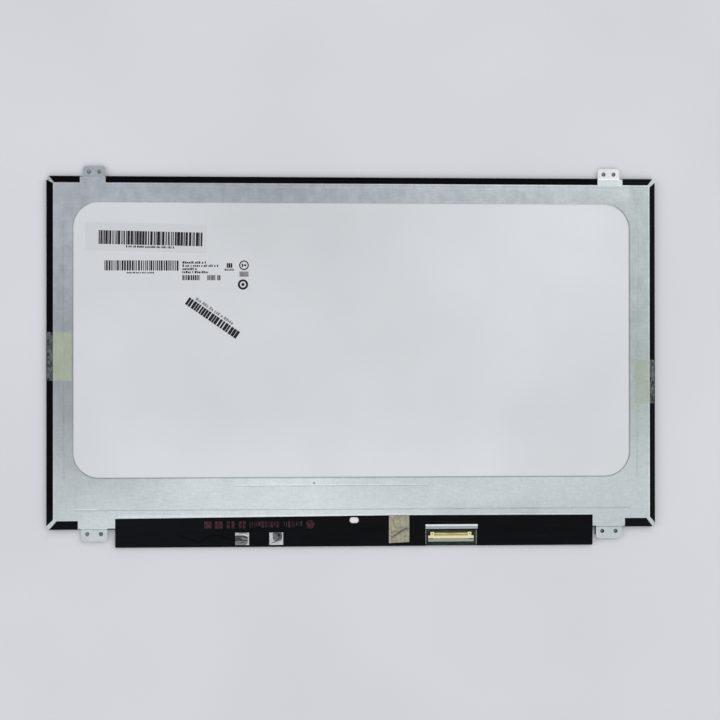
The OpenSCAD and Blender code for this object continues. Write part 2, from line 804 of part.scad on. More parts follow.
// Black cover tape from the plate over the board and round its edge
module board_cover_tape() {
    upper = [
        [cover_brow, z_cover + tape_t], [cover_step, z_cover + tape_t],
        [cover_edge, z_back + tape_t], [cover_top_mid + cut, z_back + tape_t]
    ];
    lower = [
        [cover_top_mid + cut, z_back], [cover_edge, z_back], [cover_step, z_cover],
        [cover_brow, z_cover], [board_low, cover_brow_z]
    ];
    wrap = [
        [board_low, cover_sole], [board_low + cover_return, cover_sole],
        [board_low + cover_return, cover_sole - tape_t],
        [y_end, cover_sole - tape_t], [y_end, cover_brow_z]
    ];
    color([0.07, 0.07, 0.08]) difference() {
        intersection() {
            along_x(-cover_left, cover_right) polygon(concat(upper, lower, wrap));
            flat(0, z_back + cut) polygon([
                [-cover_left, y_end - cut], [cover_right, y_end - cut], [cover_right, cover_top_right],
                [cover_kink, cover_top_mid], [-cover_left, cover_top_left]
            ]);
        }
        box(socket_window_x - socket_window_w / 2, socket_window_x + socket_window_w / 2,
            y_end - cut, y_low + socket_window_up, 0, z_back + cut);
        translate([slot_x, slot_y, 0]) linear_extrude(z_back + cut) obround(slot_w, slot_h);
    }
}

// Thin tape across the edge tape; it steps down onto the plate
module side_tape_profile(reach, flap) {
    line = [
        [half_w - reach, z_back], [half_w - flap - 3 * tape_t, z_back],
        [half_w - flap - tape_t / 2, z_back + tape_t], [half_w - bend_r - tape_t, z_back + tape_t]
    ];
    polygon(strip(line, thin_t));
}

module side_tape_left() {
    color([0.78, 0.8, 0.66], 0.8) mirror([1, 0, 0])
        along_y(left_tape_y - side_tape_l / 2, left_tape_y + side_tape_l / 2)
            side_tape_profile(left_reach, left_flap);
}

module side_tape_right() {
    w = side_tape_l - 2.8;
    color([0.78, 0.8, 0.66], 0.8)
        along_y(right_tape_y - w / 2, right_tape_y + w / 2) side_tape_profile(right_reach, right_flap);
}

module cover_patch() {
    z_high = z_back + tape_t;
    z_flat = z_cover + tape_t;
    line = [
        [patch_low, z_flat], [cover_step, z_flat],
        [cover_edge, z_high], [cover_top_mid - 0.2, z_high]
    ];
    color([0.62, 0.6, 0.5])
        along_x(tail_x - patch_w / 2, tail_x + patch_w / 2) polygon(strip(line, thin_t));
}

module foil_pad(x) {
    z = z_cover + tape_t;
    color([0.75, 0.75, 0.77])
        box(x - foil_w / 2, x + foil_w / 2, foil_low, foil_up, z, z + thin_t);
}

// Labels on the reflector

// A label right_in and down_in from the window's upper left corner
module label(right_in, down_in, w, h, turn) {
    color([0.9, 0.91, 0.92]) translate([right_in - win_x, win_top - down_in, z_label]) rotate(turn)
        translate([-w / 2, -h / 2, 0]) cube([w, h, thin_t]);
}

module label_large() {
    label(large_label_in, large_label_down, large_label_w, large_label_h, -1.2);
}

module label_middle() {
    label(middle_label_in, middle_label_down, middle_label_w, middle_label_h, 0);
}

module label_slanted() {
    label(slanted_label_in, slanted_label_down, slanted_label_w, slanted_label_h, -37);
}

// Driver films and chips

module driver_film(i) {
    x = zone_x + (i - 2.5) * film_pitch;
    nose = 1.5;
    color([0.75, 0.5, 0.2]) flat(z_film, z_tft) polygon([
        [x - film_w / 2, film_up], [x + film_w / 2, film_up],
        [x + film_w / 2, film_low + nose], [x + film_w / 2 - nose, film_low],
        [x - film_w / 2 + nose, film_low], [x - film_w / 2, film_low + nose]
    ]);
}

module driver_chip(i) {
    x = zone_x + (i - 2.5) * film_pitch;
    color([0.15, 0.15, 0.16]) box(x - chip_w / 2, x + chip_w / 2,
        chip_y - chip_h / 2, chip_y + chip_h / 2, z_film - chip_t, z_film);
}

// Control board

module control_board() {
    notch_w = 6;
    hole_in = 5;
    color([0.1, 0.28, 0.2]) difference() {
        flat(z_board, z_parts) round_rect(-board_left, board_right, board_low, board_top, 0.8);
        for (x = [-board_left + hole_in, board_right - hole_in]) {
            translate([x, parts_y, z_board - cut]) cylinder(r = 0.9, h = board_t + 2 * cut);
        }
        for (x = [-board_left, board_right]) {
            box(x - notch_w, x + notch_w, board_top - 1.2, board_top + cut, z_board - cut, z_parts + cut);
        }
    }
}

// Flat chip package with a rim of pads
module chip(x, side, h, pads) {
    pad_w = 0.25;
    pad_out = 0.1;
    pitch = (side - 1) / (pads - 1);
    translate([x, parts_y, z_parts]) {
        color([0.12, 0.12, 0.13]) translate([-side / 2, -side / 2, 0]) cube([side, side, h]);
        color([0.8, 0.8, 0.8]) for (a = [0, 90, 180, 270], i = [0 : pads - 1]) rotate(a)
            translate([side / 2 - cut / 2, (i - (pads - 1) / 2) * pitch - pad_w / 2, 0])
                cube([pad_out + cut / 2, pad_w, 0.15]);
    }
}

module timing_chip() {
    chip(timing_x, 6.4, 0.85, 12);
}

module power_chip() {
    chip(power_x, 4, 0.75, 6);
}

module backlight_chip() {
    chip(backlight_x, 3.6, 0.75, 5);
}

module memory_chip() {
    chip(memory_x, 3, 0.75, 4);
}

// Wound inductor: a square ferrite base and lid round a drum
module inductor(x) {
    side = 5;
    plate = 0.25;
    color([0.25, 0.25, 0.27]) translate([x, parts_y, z_parts]) {
        for (z = [0, part_t - plate]) translate([0, 0, z])
            linear_extrude(plate) round_rect(-side / 2, side / 2, -side / 2, side / 2, 0.8);
        cylinder(r = side / 2 - 0.4, h = part_t);
    }
}

// Ceramic capacitors and resistors in two rows along the board
module board_capacitors() {
    size = [1, 0.5, 0.5];
    spans = [
        [-board_left + 6.5, foil_left_x - 8.3], [foil_right_x + 7.6, power_x - 5.4],
        [timing_x + 15, backlight_x - 4], [socket_x + socket_w / 2 + 5.9, board_right - 9.8]
    ];
    step = 2.9;
    color([0.72, 0.62, 0.48]) for (span = spans, y = [row_up, row_down], x = [span[0] : step : span[1]]) {
        translate([x, y - size[1] / 2, z_parts]) cube(size);
    }
}

module ground_pads() {
    w = 9;
    h = row_up - row_down - 1.6;
    color([0.85, 0.7, 0.3]) for (x = ground_x) {
        box(x - w / 2, x + w / 2, parts_y - h / 2, parts_y + h / 2, z_parts, z_parts + 0.04);
    }
}

// Low socket that takes the light bar's tail
module light_bar_socket() {
    w = tail_w + 3;
    color([0.9, 0.88, 0.8]) difference() {
        box(tail_x - w / 2, tail_x + w / 2, tail_stop - 1.6, tail_stop + 1.6, z_parts, z_parts + 1);
        box(tail_x - tail_w / 2 - slack, tail_x + tail_w / 2 + slack,
            tail_stop, tail_stop + 1.6 + cut, z_tail, z_tail + strip_t);
    }
}

// Cable socket

// Side view of a contact: solder foot, riser and long beam on the tongue
module contact_profile() {
    foot_l = 0.6;
    z_beam = z_tongue + tongue_t;
    polygon([
        [socket_back + foot_l, z_parts], [socket_back + foot_l, z_parts + contact_t],
        [socket_back + contact_t, z_parts + contact_t], [socket_back + contact_t, z_beam + contact_t],
        [socket_mouth + 0.5, z_beam + contact_t], [socket_mouth + 0.5, z_beam],
        [socket_back, z_beam], [socket_back, z_parts]
    ]);
}

module contact_row(w) {
    for (i = [0 : contacts - 1]) {
        x = socket_x - row_w / 2 + i * contact_pitch;
        along_x(x - w / 2, x + w / 2) children();
    }
}

module socket_contacts() {
    color([0.88, 0.74, 0.4]) contact_row(contact_w) contact_profile();
}

// Insulating body: a bar across the socket, a tongue under the contacts and two lugs
module socket_housing() {
    x0 = socket_x - socket_w / 2;
    x1 = socket_x + socket_w / 2;
    tongue_x = row_w / 2 + 0.8;
    lug_x = socket_w / 2 - lug_in - lug_w / 2;
    rear_wall = 0.35;
    rear_gap = 2.4;
    z_beam = z_tongue + tongue_t;
    z_top = z_parts + part_t;
    color([0.95, 0.9, 0.72]) difference() {
        union() {
            box(x0, x1, bar_front, bar_back, z_parts, z_top);
            box(x0 + lug_in, x1 - lug_in, bar_back, socket_back, z_parts, z_beam);
            box(socket_x - tongue_x, socket_x + tongue_x, socket_mouth + 0.3, bar_front + slack,
                z_tongue, z_beam);
            translate([socket_x, 0, 0]) both_sides() {
                box(rear_gap, tongue_x, socket_back - rear_wall, socket_back, z_parts, z_top - 0.2);
                box(lug_x - lug_w / 2, lug_x + lug_w / 2, bar_back, bar_back + lug_l, z_parts, z_top - 0.05);
            }
        }
        translate([socket_x, bar_back + lug_l / 2, z_beam]) both_sides()
            translate([lug_x, 0, 0]) cylinder(r = lug_hole_r, h = part_t);
        // Channels for the contacts, open to the back
        contact_row(contact_w) {
            translate([socket_mouth, z_beam]) square([socket_back - socket_mouth + cut, contact_t]);
        }
    }
}

// Folded metal cover round the mouth; its roof stops short of the bar
module socket_shell() {
    x0 = socket_x - socket_w / 2;
    x1 = socket_x + socket_w / 2;
    z_top = z_parts + part_t - 0.1;
    roof_gap = 0.5;
    color([0.7, 0.71, 0.72]) difference() {
        box(x0, x1, socket_mouth, bar_front, z_parts, z_top);
        box(x0 + shell_t, x1 - shell_t, socket_mouth - cut, bar_front + cut,
            z_parts - cut, z_top - shell_t);
        box(x0 + shell_t, x1 - shell_t, bar_front - roof_gap, bar_front + cut,
            z_top - 2 * shell_t, z_top + cut);
    }
}

front_polarizer();
colour_glass();
tft_glass();
rear_polarizer();
rim_tape();
upper_prism_sheet();
lower_prism_sheet();
diffuser_sheet();
light_guide();
reflector_sheet();
light_bar();
light_emitters();
mid_frame();
back_plate();
edge_tape_top();
edge_tape_left();
edge_tape_right();
driver_tape();
board_cover_tape();
side_tape_left();
side_tape_right();
cover_patch();
foil_pad(foil_left_x);  // foil_pad_left
foil_pad(foil_right_x);  // foil_pad_right
label_large();
label_middle();
label_slanted();
driver_film(1);  // driver_film_1
driver_film(2);  // driver_film_2
driver_film(3);  // driver_film_3
driver_film(4);  // driver_film_4
driver_chip(1);  // driver_chip_1
driver_chip(2);  // driver_chip_2
driver_chip(3);  // driver_chip_3
driver_chip(4);  // driver_chip_4
control_board();
timing_chip();
power_chip();
backlight_chip();
memory_chip();
inductor(foil_left_x);  // inductor_left
inductor(foil_right_x);  // inductor_right
board_capacitors();
ground_pads();
light_bar_socket();
socket_housing();
socket_shell();
socket_contacts();
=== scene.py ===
"""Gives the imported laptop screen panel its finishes, prints, soft tapes, lamps and camera."""

import math
import random

import bpy
from bpy.props import FloatProperty, FloatVectorProperty, IntProperty, PointerProperty
from bpy.types import Operator, Panel, PropertyGroup
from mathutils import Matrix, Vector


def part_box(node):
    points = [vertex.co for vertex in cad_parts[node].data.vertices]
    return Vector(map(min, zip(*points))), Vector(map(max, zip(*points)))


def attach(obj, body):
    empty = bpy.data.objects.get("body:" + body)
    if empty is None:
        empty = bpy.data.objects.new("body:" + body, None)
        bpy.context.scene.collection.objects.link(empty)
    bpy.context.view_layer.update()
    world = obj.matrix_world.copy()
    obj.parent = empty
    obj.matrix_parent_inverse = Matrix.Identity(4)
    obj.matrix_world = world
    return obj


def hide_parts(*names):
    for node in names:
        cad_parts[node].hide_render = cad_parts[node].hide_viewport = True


bl_info = {
    "name": "Laptop Screen Panel",
    "version": (1, 0, 0),
    "blender": (4, 5, 0),
    "location": "View3D > Sidebar > Screen Panel",
    "description": "Finishes a slim laptop screen panel that lies on its screen",
    "category": "Object",
}

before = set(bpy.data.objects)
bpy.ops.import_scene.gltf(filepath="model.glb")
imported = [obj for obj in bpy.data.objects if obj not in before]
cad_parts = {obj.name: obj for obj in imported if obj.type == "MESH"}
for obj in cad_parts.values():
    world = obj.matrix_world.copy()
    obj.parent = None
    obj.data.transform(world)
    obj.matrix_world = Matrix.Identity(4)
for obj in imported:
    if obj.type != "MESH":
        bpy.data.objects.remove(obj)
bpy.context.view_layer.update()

# The panel is laid out in millimetres, and Blender works in metres
MM = 0.001
BODY = "root"


def box_mm(node):
    """Low and high corner of a node in millimetres."""
    return [[c / MM for c in corner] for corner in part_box(node)]


# Heights of the faces that prints and soft tapes lie on
PLATE_BACK = box_mm("back_plate")[1][2]
TAPE_BACK = box_mm("edge_tape_left")[1][2]
LABEL_BACK = box_mm("label_middle")[1][2]
BOARD_BACK = box_mm("control_board")[1][2]
# The ears are stepped down from the plate's back
EAR_BACK = PLATE_BACK - 0.9
# Thickness of print, and the air under a film that is shaped here
PRINT = 0.008
AIR = 0.004

# Window of the back plate: X and Y from and to, and the radius of its corners
WINDOW = (-164.25, 164.25, -70.9, 90.7, 15)


def color_property(name, description, default):
    return FloatVectorProperty(
        name=name, description=description, default=default, subtype="COLOR", size=3, min=0.0, max=1.0
    )


def length_property(name, description, default):
    return FloatProperty(name=name, description=description, default=default, unit="LENGTH", min=0.0)


class ScreenPanelFinish(PropertyGroup):
    """Colours of the panel's materials."""

    zinc: color_property("Zinc", "Light tone of the zinc coat on the back plate", (0.705, 0.758, 0.773))
    zinc_dark: color_property("Zinc Shade", "Dark tone of the zinc coat", (0.555, 0.60, 0.620))
    reflector: color_property("Reflector", "White sheet behind the light guide", (0.655, 0.677, 0.70))
    tape: color_property("Edge Tape", "Black polyester tape", (0.0016, 0.0016, 0.0022))
    cover: color_property("Cover Tape", "Black tape over the control board", (0.0039, 0.0046, 0.0058))
    side_tape: color_property("Side Tape", "Translucent tape over the sides", (0.62, 0.685, 0.50))
    patch: color_property("Cover Patch", "Translucent tape over the backlight's tail", (0.305, 0.29, 0.205))
    foil: color_property("Foil", "Crinkled foil pads on the cover tape", (0.60, 0.615, 0.625))
    label: color_property("Label", "Film of the printed labels", (0.605, 0.627, 0.65))
    ink: color_property("Ink", "Black ink of the labels", (0.014, 0.014, 0.018))
    red_ink: color_property("Red Ink", "Faint print on the cover tape", (0.060, 0.027, 0.034))
    board: color_property("Board", "Solder mask of the control board", (0.010, 0.021, 0.014))
    resin: color_property("Socket Resin", "Cream insulating body of the cable socket", (0.82, 0.74, 0.42))
    shell: color_property("Socket Shell", "Stamped steel cover of the cable socket", (0.36, 0.385, 0.38))


class ScreenPanelSizes(PropertyGroup):
    """Sizes of what is shaped in Blender."""

    patch_crease: length_property("Patch Crease", "Height of the creases in the cover patch", 0.00022)
    foil_crease: length_property("Foil Crease", "Height of the creases in the foil pads", 0.00025)
    side_crease: length_property("Side Crease", "Height of the creases in the side tapes", 0.00004)
    bar: length_property("Bar", "Narrowest bar of the printed labels", 0.00036)
    print_seed: IntProperty(
        name="Print Seed", description="Picks the pattern of the printed bars", default=7, min=0
    )
    camera_height: length_property("Camera Height", "Height of the camera above the table", 0.90106)
    lamp: FloatProperty(
        name="Soft Light", description="Power of the large lamp", default=14.0, unit="POWER", min=0.0
    )


# Materials


class Finish:
    """A material with its pattern laid out in millimetres of the panel's frame."""

    def __init__(self, name, color, roughness, **sockets):
        self.material = bpy.data.materials.new(name)
        self.material.use_nodes = True
        self.tree = self.material.node_tree
        self.shader = self.tree.nodes["Principled BSDF"]
        self.put("Base Color", color)
        self.put("Roughness", roughness)
        for key, value in sockets.items():
            self.put(key.replace("_", " ").title().replace("Ior", "IOR"), value)

    def feed(self, socket, value):
        """Links a socket to an output, or sets it to a number or a colour."""
        if isinstance(value, bpy.types.NodeSocket):
            self.join(value, socket)
        else:
            socket.default_value = value if isinstance(value, (int, float)) else (*value, 1.0)

    def put(self, name, value):
        self.feed(self.shader.inputs[name], value)

    def add(self, kind, **values):
        node = self.tree.nodes.new(kind)
        for key, value in values.items():
            setattr(node, key, value)
        return node

    def join(self, source, target):
        self.tree.links.new(source, target)

    def place(self, scale=(1, 1, 1), turn=0.0):
        """Millimetre coordinates, with each axis times its scale."""
        where = self.add("ShaderNodeTexCoord")
        fit = self.add("ShaderNodeMapping")
        fit.inputs["Scale"].default_value = [s / MM for s in scale]
        fit.inputs["Rotation"].default_value[2] = turn
        self.join(where.outputs["Object"], fit.inputs["Vector"])
        return fit.outputs["Vector"]

    def noise(self, size, detail=3.0, stretch=(1, 1, 1), roughness=0.5, turn=0.0):
        """Noise with lumps of that size in millimetres, drawn out by stretch."""
        node = self.add("ShaderNodeTexNoise")
        node.inputs["Scale"].default_value = 1.0 / size
        node.inputs["Detail"].default_value = detail
        node.inputs["Roughness"].default_value = roughness
        self.join(self.place([1.0 / s for s in stretch], turn), node.inputs["Vector"])
        return node.outputs["Fac"]

    def cells(self, size, feature="F1", stretch=(1, 1, 1)):
        node = self.add("ShaderNodeTexVoronoi", feature=feature)
        node.inputs["Scale"].default_value = 1.0 / size
        self.join(self.place([1.0 / s for s in stretch]), node.inputs["Vector"])
        return node.outputs["Distance"]

    def along(self, axis):
        """Place along one axis, in millimetres."""
        split = self.add("ShaderNodeSeparateXYZ")
        self.join(self.place(), split.inputs["Vector"])
        return split.outputs[axis]

    def math(self, operation, a, b=0.0):
        node = self.add("ShaderNodeMath", operation=operation)
        self.feed(node.inputs[0], a)
        self.feed(node.inputs[1], b)
        return node.outputs[0]

    def times(self, a, b):
        return self.math("MULTIPLY", a, b)

    def spread(self, value, low, high, to_low=0.0, to_high=1.0):
        """Stretches the span from low to high over another span."""
        node = self.add("ShaderNodeMapRange")
        self.join(value, node.inputs["Value"])
        for key, number in zip(("From Min", "From Max", "To Min", "To Max"), (low, high, to_low, to_high)):
            node.inputs[key].default_value = number
        return node.outputs["Result"]

    def ramp(self, value, *stops):
        """Colours at places from 0 to 1."""
        node = self.add("ShaderNodeValToRGB")
        while len(node.color_ramp.elements) < len(stops):
            node.color_ramp.elements.new(0.5)
        for element, (place, color) in zip(node.color_ramp.elements, stops):
            element.position = place
            element.color = (*color, 1.0)
        self.join(value, node.inputs["Fac"])
        return node.outputs["Color"]

    def mottle(self, size, low, high, detail=3.0):
        """Clouds of two colours, with lumps of that size in millimetres."""
        return self.ramp(self.noise(size, detail), (0.3, low), (0.7, high))

    def waves(self, direction, scale):
        """Fine parallel lines across that direction."""
        node = self.add("ShaderNodeTexWave", wave_type="BANDS", bands_direction=direction)
        node.inputs["Scale"].default_value = scale
        self.join(self.place(), node.inputs["Vector"])
        return node.outputs["Fac"]

    def mix(self, share, a, b):
        node = self.add("ShaderNodeMix", data_type="RGBA")
        for place, value in ((0, share), (6, a), (7, b)):
            self.feed(node.inputs[place], value)
        return node.outputs[2]

    def tone(self):
        """Shade that a piece carries at its points."""
        return self.add("ShaderNodeAttribute", attribute_name="tone").outputs["Fac"]

    def shaded(self, color, share):
        """Darkens a colour by a share, or lightens it where the share is below 0."""
        node = self.add("ShaderNodeVectorMath", operation="SCALE")
        self.join(color, node.inputs[0])
        self.join(self.math("SUBTRACT", 1.0, share), node.inputs["Scale"])
        return node.outputs["Vector"]

    def between(self, value, low, high, soft):
        """1 where a value lies between low and high, and 0 outside, with soft ends."""
        rise = self.spread(value, low - soft, low + soft)
        return self.times(rise, self.spread(value, high - soft, high + soft, 1.0, 0.0))

    def inside(self, axis, low, high, soft=0.05):
        """1 between two places along an axis, in millimetres, and 0 outside."""
        return self.between(self.along(axis), low, high, soft)

    def patch(self, x0, x1, y0, y1, soft=0.2):
        """1 inside a rectangle of the plane, and 0 outside."""
        return self.times(self.inside("X", x0, x1, soft), self.inside("Y", y0, y1, soft))

    def shade_rects(self, color, tones):
        """Shades soft rectangles of the plane: X and Y from and to, softness, darkness."""
        for x0, x1, y0, y1, soft, dark in tones:
            color = self.shaded(color, self.times(self.patch(x0, x1, y0, y1, soft), dark))
        return color

    def tinted(self, color, share, factors):
        """Multiplies a colour where the share is 1."""
        tint = self.add("ShaderNodeVectorMath", operation="MULTIPLY")
        self.join(color, tint.inputs[0])
        tint.inputs[1].default_value = factors
        return self.mix(share, color, tint.outputs["Vector"])

    def inset(self, x0, x1, y0, y1, radius):
        """Distance in from a rounded rectangle's edge, in millimetres, up to its corner radius."""
        reach = []
        for axis, low, high in (("X", x0, x1), ("Y", y0, y1)):
            off = self.math("ABSOLUTE", self.math("SUBTRACT", self.along(axis), (low + high) / 2))
            past = self.math("MAXIMUM", self.math("SUBTRACT", off, (high - low) / 2 - radius), 0.0)
            reach.append(self.math("POWER", past, 2.0))
        return self.math("SUBTRACT", radius, self.math("SQRT", self.math("ADD", *reach)))

    def window_line(self, low, high, dark):
        """Darkness of a fine shadow between two distances in from the window's edge.
        It is full along the lower and right edges, half as dark on the left and bare at the top."""
        band = self.between(self.inset(*WINDOW), low, high, 0.06)
        x, y = self.along("X"), self.along("Y")
        right, left = self.spread(x, 150.0, 162.0), self.spread(x, -163.0, -150.0, 0.45, 0.0)
        low_edge = self.spread(y, -69.0, -60.0, 1.0, 0.0)
        edges = self.math("MAXIMUM", self.math("MAXIMUM", right, left), low_edge)
        return self.times(self.times(band, edges), dark)

    def color(self, output):
        self.put("Base Color", output)

    def rough(self, output):
        self.put("Roughness", output)

    def bump(self, height, depth):
        """Relief of that depth in millimetres over the full span of height.
        Later calls add to earlier ones."""
        node = self.add("ShaderNodeBump")
        node.inputs["Strength"].default_value = 1.0
        node.inputs["Distance"].default_value = depth * MM
        self.join(height, node.inputs["Height"])
        old = self.shader.inputs["Normal"].links
        if old:
            self.join(old[0].from_socket, node.inputs["Normal"])
        self.join(node.outputs["Normal"], self.shader.inputs["Normal"])


def shade(color, factor):
    return tuple(min(1.0, c * factor) for c in color)


def dress(finish, *nodes):
    """Puts a finish on CAD nodes."""
    for name in nodes:
        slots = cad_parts[name].material_slots
        if not slots:
            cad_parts[name].data.materials.append(finish.material)
        for slot in slots:
            slot.material = finish.material


def clouded(name, roughness, size, low, high, nodes=(), detail=3.0, relief=None, **sockets):
    """A finish of clouds of two colours on CAD nodes. relief is the size, detail and depth of its grain."""
    finish = Finish(name, high, roughness, **sockets)
    finish.color(finish.mottle(size, low, high, detail))
    if relief:
        grain, grain_detail, depth = relief
        finish.bump(finish.noise(grain, grain_detail), depth)
    dress(finish, *nodes)
    return finish


# Shapes


def piece(name, points, faces, finish, slot, stands_for=(), smooth=False, tone=None):
    """A mesh piece from points in millimetres that rides on the panel.
    tone gives the shade at a place of the plane."""
    mesh = bpy.data.meshes.new(name)
    mesh.from_pydata([[c * MM for c in p] for p in points], [], faces)
    mesh.materials.append(finish.material)
    mesh.polygons.foreach_set("use_smooth", [smooth] * len(faces))
    if tone:
        layer = mesh.attributes.new("tone", "FLOAT", "POINT")
        layer.data.foreach_set("value", [tone(x, y) for x, y, _ in points])
    mesh.update()
    thing = bpy.data.objects.new(name, mesh)
    bpy.context.scene.collection.objects.link(thing)
    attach(thing, BODY)
    if stands_for:
        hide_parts(*stands_for)


def film(low, high, grid, under, thick, warp=None):
    """Points and faces of a closed film over a grid between two corners.
    under gives the height of its lower face, and warp may move the points of the grid in the plane."""
    xs, ys = ([a + (b - a) * i / n for i in range(n + 1)] for a, b, n in zip(low, high, grid))
    points = []
    faces = []
    for rise in (0.0, thick):
        for y in ys:
            for x in xs:
                px, py = warp(x, y) if warp else (x, y)
                points.append((px, py, under(px, py) + rise))
    nx, ny = len(xs), len(ys)
    top = nx * ny
    for j in range(ny - 1):
        for i in range(nx - 1):
            a = j * nx + i
            faces.append((a, a + nx, a + nx + 1, a + 1))
            faces.append((top + a, top + a + 1, top + a + nx + 1, top + a + nx))
    rim = [*range(nx), *range(2 * nx - 1, top, nx)]
    rim += [*range(top - 2, top - nx - 1, -1), *range(top - 2 * nx, 0, -nx)]
    for a, b in zip(rim, rim[1:] + rim[:1]):
        faces.append((a, b, top + b, top + a))
    return points, faces


def clamp(share):
    """Holds a share between 0 and 1."""
    return min(1.0, max(0.0, share))


def crease(x, y, fold):
    """Height of one fold, from 0 to 1: a sharp ridge along a line, which fades at its ends.
    A fold is its middle, angle, half width and half length."""
    cx, cy, angle, width, length = fold[:5]
    c, s = math.cos(angle), math.sin(angle)
    along = (x - cx) * c + (y - cy) * s
    across = (y - cy) * c - (x - cx) * s + 0.12 * along * along / max(length, 0.1)
    fade = max(0.0, 1.0 - (along / length) ** 2)
    return max(0.0, 1.0 - abs(across) / width) * fade


def ridges(x, y, folds):
    """Height of all folds at a place, from 0 to 1."""
    return min(1.0, sum(crease(x, y, fold) for fold in folds))


def fold_shade(x, y, folds):
    """Painted shade along folds whose sixth value is its darkness, and a painted highlight where that value
    is below 0.
    """
    return sum(fold[5] * min(1.0, 1.6 * crease(x, y, fold)) for fold in folds)


def pool(x, y, spot):
    """Shade of a soft oval: place, half width, half height, darkness."""
    cx, cy, wide, high, dark = spot
    reach = abs((x - cx) / wide) ** 3 + abs((y - cy) / high) ** 3
    return dark * clamp(2.5 * (1.0 - reach))


def plates(rects, z, thick, place=None):
    """Points and faces of flat blocks (x0, x1, y0, y1) on a face at height z.
    place moves a point of the plane, such as onto a turned label."""
    points = []
    faces = []
    for x0, x1, y0, y1 in rects:
        base = len(points)
        for height in (z, z + thick):
            for x, y in ((x0, y0), (x1, y0), (x1, y1), (x0, y1)):
                px, py = place(x, y) if place else (x, y)
                points.append((px, py, height))
        faces.append((base + 3, base + 2, base + 1, base))
        faces.append((base + 4, base + 5, base + 6, base + 7))
        for i in range(4):
            k = (i + 1) % 4
            faces.append((base + i, base + k, base + 4 + k, base + 4 + i))
    return points, faces


def turned(x, y, angle):
    """A mover that turns a point by angle and sets it down at x, y."""
    c, s = math.cos(angle), math.sin(angle)
    return lambda px, py: (x + px * c - py * s, y + px * s + py * c)


def ring(x, y, outer, inner, z, thick):
    """Points and faces of a flat ring, or of a disc where inner is 0."""
    sides = 32
    points = []
    faces = []
    for height in (z, z + thick):
        for radius in (outer, max(inner, 0.001)):
            for i in range(sides):
                a = math.tau * i / sides
                points.append((x + radius * math.cos(a), y + radius * math.sin(a), height))
    for i in range(sides):
        k = (i + 1) % sides
        o0, n0, o1, n1 = i, sides + i, 2 * sides + i, 3 * sides + i
        p0, m0, p1, m1 = k, sides + k, 2 * sides + k, 3 * sides + k
        faces += [(o1, p1, m1, n1), (o0, n0, m0, p0), (o0, p0, p1, o1), (n0, n1, m1, m0)]
    return points, faces


def joined(*parts):
    """Several sets of points and faces as one."""
    points = []
    faces = []
    for some_points, some_faces in parts:
        base = len(points)
        points += some_points
        faces += [tuple(i + base for i in face) for face in some_faces]
    return points, faces


def bars(rng, x0, x1, y0, y1, narrow, widths, gaps):
    """Upright bars between x0 and x1, with widths and gaps picked from multiples of narrow."""
    rects = []
    x = x0
    while x < x1 - max(widths) * narrow:
        w = narrow * rng.choice(widths)
        rects.append((x, x + w, y0, y1))
        x += w + narrow * rng.choice(gaps)
    rects.append((x, x1, y0, y1))
    return rects


def words(rng, x0, x1, y0, height):
    """A row of short blocks that stands for a line of small print."""
    rects = []
    x = x0
    while x < x1 - height:
        w = height * rng.uniform(0.35, 0.8)
        rects.append((x, x + w, y0, y0 + height * rng.choice((0.75, 1.0, 1.0))))
        x += w + height * rng.choice((0.18, 0.18, 0.22, 0.6))
    return rects


# Operators


class PanelStep(Operator):
    """Base of the panel's operators."""

    bl_options = {"REGISTER"}

    @property
    def finish(self):
        return bpy.context.scene.screen_panel_finish

    @property
    def sizes(self):
        return bpy.context.scene.screen_panel_sizes


